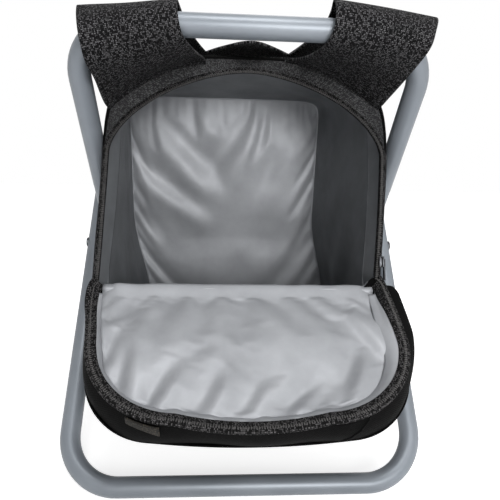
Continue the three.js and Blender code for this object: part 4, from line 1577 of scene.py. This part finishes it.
@dataclass
class MouthZipper:
    """Zipper tape and teeth of the mouth."""

    finishes: Finishes
    trees: PathTrees
    bag: CoolerBag

    def build(self) -> None:
        """Builds the tape and the teeth."""
        f, bag = self.finishes, self.bag
        rows = []
        for grow, ahead in ((3.4, 0.8), (2.0, 1.8), (0.4, 2.4), (-1.0, 1.8), (-1.5, -1.5), (-1.4, -5.0)):
            rows.append(bag.mouth_frame(bag.arch(count=220, grow=grow), ahead))
        tape = surface("mouth_zipper_band", np.stack(rows, 1), f.tape)
        dress(thicken(tape, ZIPPER.tape, smooth=1), Body.BAG, ("mouth_zipper_tape",))
        sheet(tape, Held.STRETCHED, "mouth_band")
        flat = bag.arch(count=300, grow=-0.8)
        line = bag.mouth_frame(flat, 2.6)
        normal = np.gradient(flat, axis=0)[:, ::-1] * [1, -1]
        aims = np.stack([normal[:, 0], normal[:, 1] * math.tan(BAG.mouth_lean), normal[:, 1]], -1)
        teeth = self.trees.row("mouth_zipper_teeth", line, ZIPPER.pitch, (BAG.tooth, *ZIPPER.tooth), f.coil, aims)
        dress(teeth, Body.BAG)


# Seat


@dataclass
class SlingSeat:
    """Sling seat, its wings over the bars and the stitching that holds them."""

    finishes: Finishes
    trees: PathTrees
    top: float = 424.8
    edge: float = 150.0
    notch_edge: float = 59.0
    tip: float = 27.0
    tip_half: float = 14.0
    notch_half: float = 42.0
    sag: float = 5.0
    droop: float = 8.0
    run: float = 60.0
    bar_half: float = 60.0
    outer: float = 140.0
    thickness: float = 2.2
    bow: float = 9.5
    bend_low: tuple[float, float] = (95.0, 372.0)
    bend_high: tuple[float, float] = (152.0, 402.0)
    stitch_pitch: float = 3.4
    stitch: tuple[float, float, float] = (2.4, 0.8, 0.6)

    def front_edge(self, x: Array) -> Array:
        """How far from the middle the seat's edge is, at a place across it."""
        a = np.abs(x)
        slope = self.tip / (self.notch_half - self.tip_half)
        bow = slope * self.tip_half / 2 * np.clip(1 - (a / self.tip_half) ** 2, 0, 1)
        tongue = self.notch_edge + slope * np.minimum(self.notch_half - a, self.notch_half - self.tip_half) + bow
        climb = (self.edge - self.notch_edge) * (a - self.notch_half)
        flank = self.notch_edge + climb / (self.bar_half - self.notch_half)
        return np.where(a < self.notch_half, tongue, np.minimum(flank, self.edge))

    @staticmethod
    def between(end: End, near: tuple, far: tuple) -> tuple[tuple[Body, Body], tuple]:
        """The two bodies that cloth at one end lies between, and the ends of its span, near the bag and at the bar.
        """
        if end is End.FRONT:
            return (Body.BAG, Body.INNER), (near, far)
        return (Body.OUTER, Body.BAG), (far, near)

    def half(self, end: End) -> None:
        """Builds one half of the sling."""
        edges = (-self.outer, -self.bar_half, -self.notch_half, self.notch_half, self.bar_half, self.outer)
        parts = [np.linspace(a, b, count) for a, b, count in zip(edges, edges[1:], (22, 12, 26, 12, 22))]
        x = np.unique(np.concatenate(parts).round(6))
        far = self.front_edge(x)
        share = np.linspace(0, 1, 34)
        y = far[:, None] * share
        near = np.clip(1 - (far[:, None] - y) / self.run, 0, 1) ** 2
        across = smoothstep(self.bar_half + 4, self.notch_half, np.abs(x)) * (0.5 + 0.45 * (x / self.notch_half) ** 2)
        droop = self.droop * across[:, None] * near
        z = self.top - self.sag * np.cos(np.clip(y / self.edge, 0, 1) * math.pi / 2) - droop
        grid = np.stack([np.repeat(x[:, None], y.shape[1], 1), end.value * y, z], -1)
        grid[..., 2] += ripple(grid, 80, seed=61) * 0.6 * share
        name = f"seat_sling_{end.label}"
        sling = surface(name, grid, self.finishes.coarse, flip=end is End.REAR)
        thicken(sling, self.thickness, smooth=1)
        bodies, ends = self.between(end, (0, 0, self.top), (0, end.value * FRAME.bar_y * 0.97, self.top))
        dress(sling, bodies, ("seat_panel",), ends)
        sheet(sling, Held.STRETCHED, f"wing_{end.label}_left", f"wing_{end.label}_right")

    def wing(self, end: End, side: Side, rows: list) -> None:
        """Builds one wing from its edges.

        Args:
            end: Which bar it hangs over.
            side: Which side of the stool.
            rows: Outer and inner edge points from the seat, over the bar, to the bag.
        """
        outer, inner = (spline(np.array([row[k] for row in rows], float), 56) for k in (0, 1))
        share = np.linspace(0, 1, 30)[:, None, None]
        grid = inner[None] * (1 - share) + outer[None] * share
        along = np.linspace(0, 1, 56)
        bow = 4 * share[..., 0] * (1 - share[..., 0])
        grid[..., 2] += bow * self.bow * smoothstep(0.6, 1.0, along) + bow * 1.0 * (1 - smoothstep(0.3, 0.6, along))
        seed = 70 + 2 * end.value + side.value
        grid += ripple(grid, 60, seed)[..., None] * np.array([0.2, 0.5, 0.5])
        label = f"{end.label}_{side.label}"
        flip = (side is Side.LEFT) == (end is End.FRONT)
        wing = surface(f"wing_{label}", grid, self.finishes.coarse, flip=flip)
        thicken(wing, self.thickness, smooth=1)
        normal = np.cross(np.gradient(grid, axis=0), np.gradient(grid, axis=1)) * (-1 if flip else 1)
        normal /= np.linalg.norm(normal, axis=2, keepdims=True)
        inset = 2
        raised = grid + 0.2 * normal
        path = np.concatenate([raised[inset, :-inset], raised[inset:-inset, -inset], raised[-inset, :-inset][::-1]])
        stitches = self.trees.row(
            f"wing_stitches_{label}", path, self.stitch_pitch, self.stitch, self.finishes.thread
        )
        nodes = tuple(f"{end.label}_{kind}_{side.label}" for kind in ("sleeve", "web"))
        low, high = ((0, end.value * y, z) for y, z in (self.bend_low, self.bend_high))
        bodies, ends = self.between(end, low, high)
        loop = "inner_loop" if end is End.FRONT else "outer_loop"
        sheet(dress(wing, bodies, nodes, ends), Held.FOLDED, loop)
        dress(stitches, bodies, (), ends)

    def build(self) -> None:
        """Builds both halves of the sling and the four wings."""
        for end in End:
            self.half(end)
        left = [
            ((-140, -116, 427.2), (-58, -116, 427.2)),
            ((-140, -146, 428.5), (-60, -146, 430.5)),
            ((-138, -160, 421.5), (-61, -159, 432.5)),
            ((-135, -171, 411.5), (-60, -172, 424)),
            ((-132.5, -175, 400), (-58.5, -174, 413)),
            ((-131, -168, 386), (-56, -168, 405.5)),
            ((-130, -152, 377.5), (-51, -150, 402)),
            ((-130.5, -126, 366.5), (-46, -122, 402)),
            ((-131, -106, 360), (-42, -100, 403)),
            ((-130.5, -94, 357), (-40, -88, 401)),
        ]
        right = [
            ((146, -116, 427.2), (64, -116, 427.2)),
            ((147.5, -146, 429.5), (63, -146, 433)),
            ((147, -160, 426), (62, -159, 438)),
            ((141, -172, 414.5), (61.5, -172, 430)),
            ((138, -174.5, 405.5), (60.5, -174.5, 416)),
            ((135.2, -168, 398), (58, -169, 408)),
            ((131.8, -152, 388.5), (54, -151, 403.5)),
            ((129.3, -128, 378), (48, -126, 403)),
            ((126.5, -104, 367), (40, -102, 405)),
            ((126, -91, 363), (33, -86, 405)),
        ]
        self.wing(End.FRONT, Side.LEFT, left)
        self.wing(End.FRONT, Side.RIGHT, right)
        rear = [
            ((140, 116, 427.2), (60, 116, 427.2)),
            ((142, 146, 429), (61, 146, 430.5)),
            ((143, 160, 427.5), (61, 160, 432.5)),
            ((143, 171, 419), (60, 172, 424)),
            ((142, 174.5, 409), (59, 174.5, 413)),
            ((140, 169, 400), (57, 169, 406)),
            ((136, 150, 388), (53, 150, 400)),
            ((130, 125, 374), (48, 125, 396)),
            ((124, 100, 362), (44, 100, 392)),
            ((118, 87, 358), (40, 84.5, 389)),
        ]
        for side in Side:
            shift = BAG.back_shift * smoothstep(5, len(rear) - 1, np.arange(len(rear)))
            turned = [tuple((side.value * x + move, y, z) for x, y, z in row) for row, move in zip(rear, shift)]
            self.wing(End.REAR, side, turned)


# Slider


@dataclass
class ZipperSlider:
    """Slider and pull on the right side of the mouth."""

    finishes: Finishes
    bag: CoolerBag
    round_mm: float = 0.35
    run: tuple[float, float, float] = (0.0, 23.3, 86.9)

    def build(self) -> None:
        """Builds the cast slider and pull, moved as far as the tape hangs to one side at the middle of their run."""
        for node, name, body in (
            ("zipper_slider", "cast_slider", Body.SLIDER),
            ("zipper_pull", "cast_pull", Body.PULLER),
        ):
            solid = frame["nodes"][node]
            points = np.array([tuple(solid.matrix_world @ corner.co) for corner in solid.data.vertices])
            points = (points - np.array([0.0, PIVOT_Y, 0.0])) / MM
            middle = points.mean(0)
            points[:, 0] += self.bag.hang(middle + np.array(self.run) / 2)[0] - middle[0]
            faces = [tuple(face.vertices) for face in solid.data.polygons]
            piece = new_object(name, points, faces, self.finishes.gunmetal)
            shape = bmesh.new()
            shape.from_mesh(piece.data)
            bmesh.ops.remove_doubles(shape, verts=shape.verts, dist=1e-6)
            bmesh.ops.dissolve_limit(shape, angle_limit=math.radians(2), verts=shape.verts, edges=shape.edges)
            shape.to_mesh(piece.data)
            shape.free()
            rounded = piece.modifiers.new("rounded", "BEVEL")
            rounded.width, rounded.segments, rounded.limit_method = self.round_mm * MM, 2, "ANGLE"
            dress(bake(piece), body, (node,))


# Stage


@dataclass
class Studio:
    """Pale floor, soft lamps and the camera."""

    position: tuple[float, float, float] = (-27.14, -580.95, 317.957)
    pitch: float = 0.1904
    yaw: float = 0.0653
    roll: float = 0.0246
    lens: float = 36.0
    sensor: float = 36.0

    def build(self) -> None:
        """Builds the stage."""
        self.camera()
        self.floor()
        self.lamps()
        self.world()
        bpy.context.scene.view_settings.view_transform = "Standard"

    def camera(self) -> None:
        """Sets the camera where the photograph was taken from."""
        p, y, r = self.pitch, self.yaw, self.roll
        ahead = Vector((math.sin(y) * math.cos(p), math.cos(y) * math.cos(p), -math.sin(p)))
        right = Vector((math.cos(y), -math.sin(y), 0))
        up = right.cross(ahead)
        across = right * math.cos(r) + up * math.sin(r)
        upward = up * math.cos(r) - right * math.sin(r)
        data = bpy.data.cameras.new("camera")
        data.lens, data.sensor_width, data.sensor_fit = self.lens, self.sensor, "HORIZONTAL"
        data.clip_start, data.clip_end = 0.01, 50
        camera = bpy.data.objects.new("camera", data)
        turn = Matrix((across, upward, -ahead)).transposed().to_4x4()
        camera.matrix_world = Matrix.Translation(Vector(to_row(np.array(self.position)))) @ turn
        bpy.context.scene.collection.objects.link(camera)
        bpy.context.scene.camera = camera

    def floor(self) -> None:
        """Lays the pale floor."""
        reach = 4000.0
        points = np.array([(-reach, -reach, 0), (reach, -reach, 0), (reach, reach, 0), (-reach, reach, 0)])
        material, tree, shader = start_material("pale_floor")
        place = add_node(tree, "ShaderNodeTexCoord").outputs["Object"]
        far = add_node(tree, "ShaderNodeVectorMath", {0: place}, operation="LENGTH").outputs["Value"]
        fade = {"Value": far, "From Min": 0.3, "From Max": 0.8, "To Min": 0.75}
        share = add_node(tree, "ShaderNodeMapRange", fade, interpolation_type="SMOOTHSTEP")
        glow = add_node(tree, "ShaderNodeMath", {0: share, 1: shown_rays(tree)}, operation="MULTIPLY")
        set_inputs(tree, shader, {"Base Color": linear("#f4f4f4"), "Roughness": 0.9})
        set_inputs(tree, shader, {"Emission Color": linear("#ffffff"), "Emission Strength": glow})
        plane = new_object("floor", points, [(0, 1, 2, 3)], material)

    def lamps(self) -> None:
        """Hangs the soft lamps."""
        for name, place, aim, size, power in (
            ("key", (260, -1400, 520), (0, -60, 230), 500, 12.2),
            ("overhead", (60, -700, 1500), (0, -120, 200), 450, 8.4),
            ("fill", (900, -300, 1000), (0, -60, 230), 900, 1.5),
            ("back", (200, 900, 1300), (0, 0, 250), 900, 3.0),
        ):
            data = bpy.data.lights.new(name, "AREA")
            data.shape, data.size, data.energy = "DISK", size * MM, power
            lamp = bpy.data.objects.new(name, data)
            spot = Vector(to_row(np.array(place, float)))
            toward = Vector(to_row(np.array(aim, float))) - spot
            lamp.matrix_world = Matrix.Translation(spot) @ toward.to_track_quat("-Z", "Y").to_matrix().to_4x4()
            bpy.context.scene.collection.objects.link(lamp)

    def world(self) -> None:
        """Makes the room: white to the eye, softer as a light."""
        world = bpy.data.worlds.new("room")
        bpy.context.scene.world = world
        world.use_nodes = True
        tree = world.node_tree
        tree.nodes.clear()
        strength = add_node(tree, "ShaderNodeMapRange", {"Value": shown_rays(tree), "To Min": 0.1, "To Max": 1.0})
        light = add_node(tree, "ShaderNodeBackground", {"Color": (1.0, 1.0, 1.0, 1.0), "Strength": strength})
        add_node(tree, "ShaderNodeOutputWorld", {"Surface": light})


def main() -> None:
    """Builds the stool piece by piece."""
    logging.basicConfig(level=logging.INFO, format="%(message)s")
    finishes, trees = Finishes(), PathTrees()
    Studio().build()
    bag = CoolerBag(finishes, trees)
    TubeFrame(finishes, trees).build()
    bag.build()
    DropFlap(finishes, trees).build()
    MouthZipper(finishes, trees, bag).build()
    ZipperSlider(finishes, bag).build()
    SlingSeat(finishes, trees).build()
    bpy.context.view_layer.update()


if __name__ == "__main__":
    main()
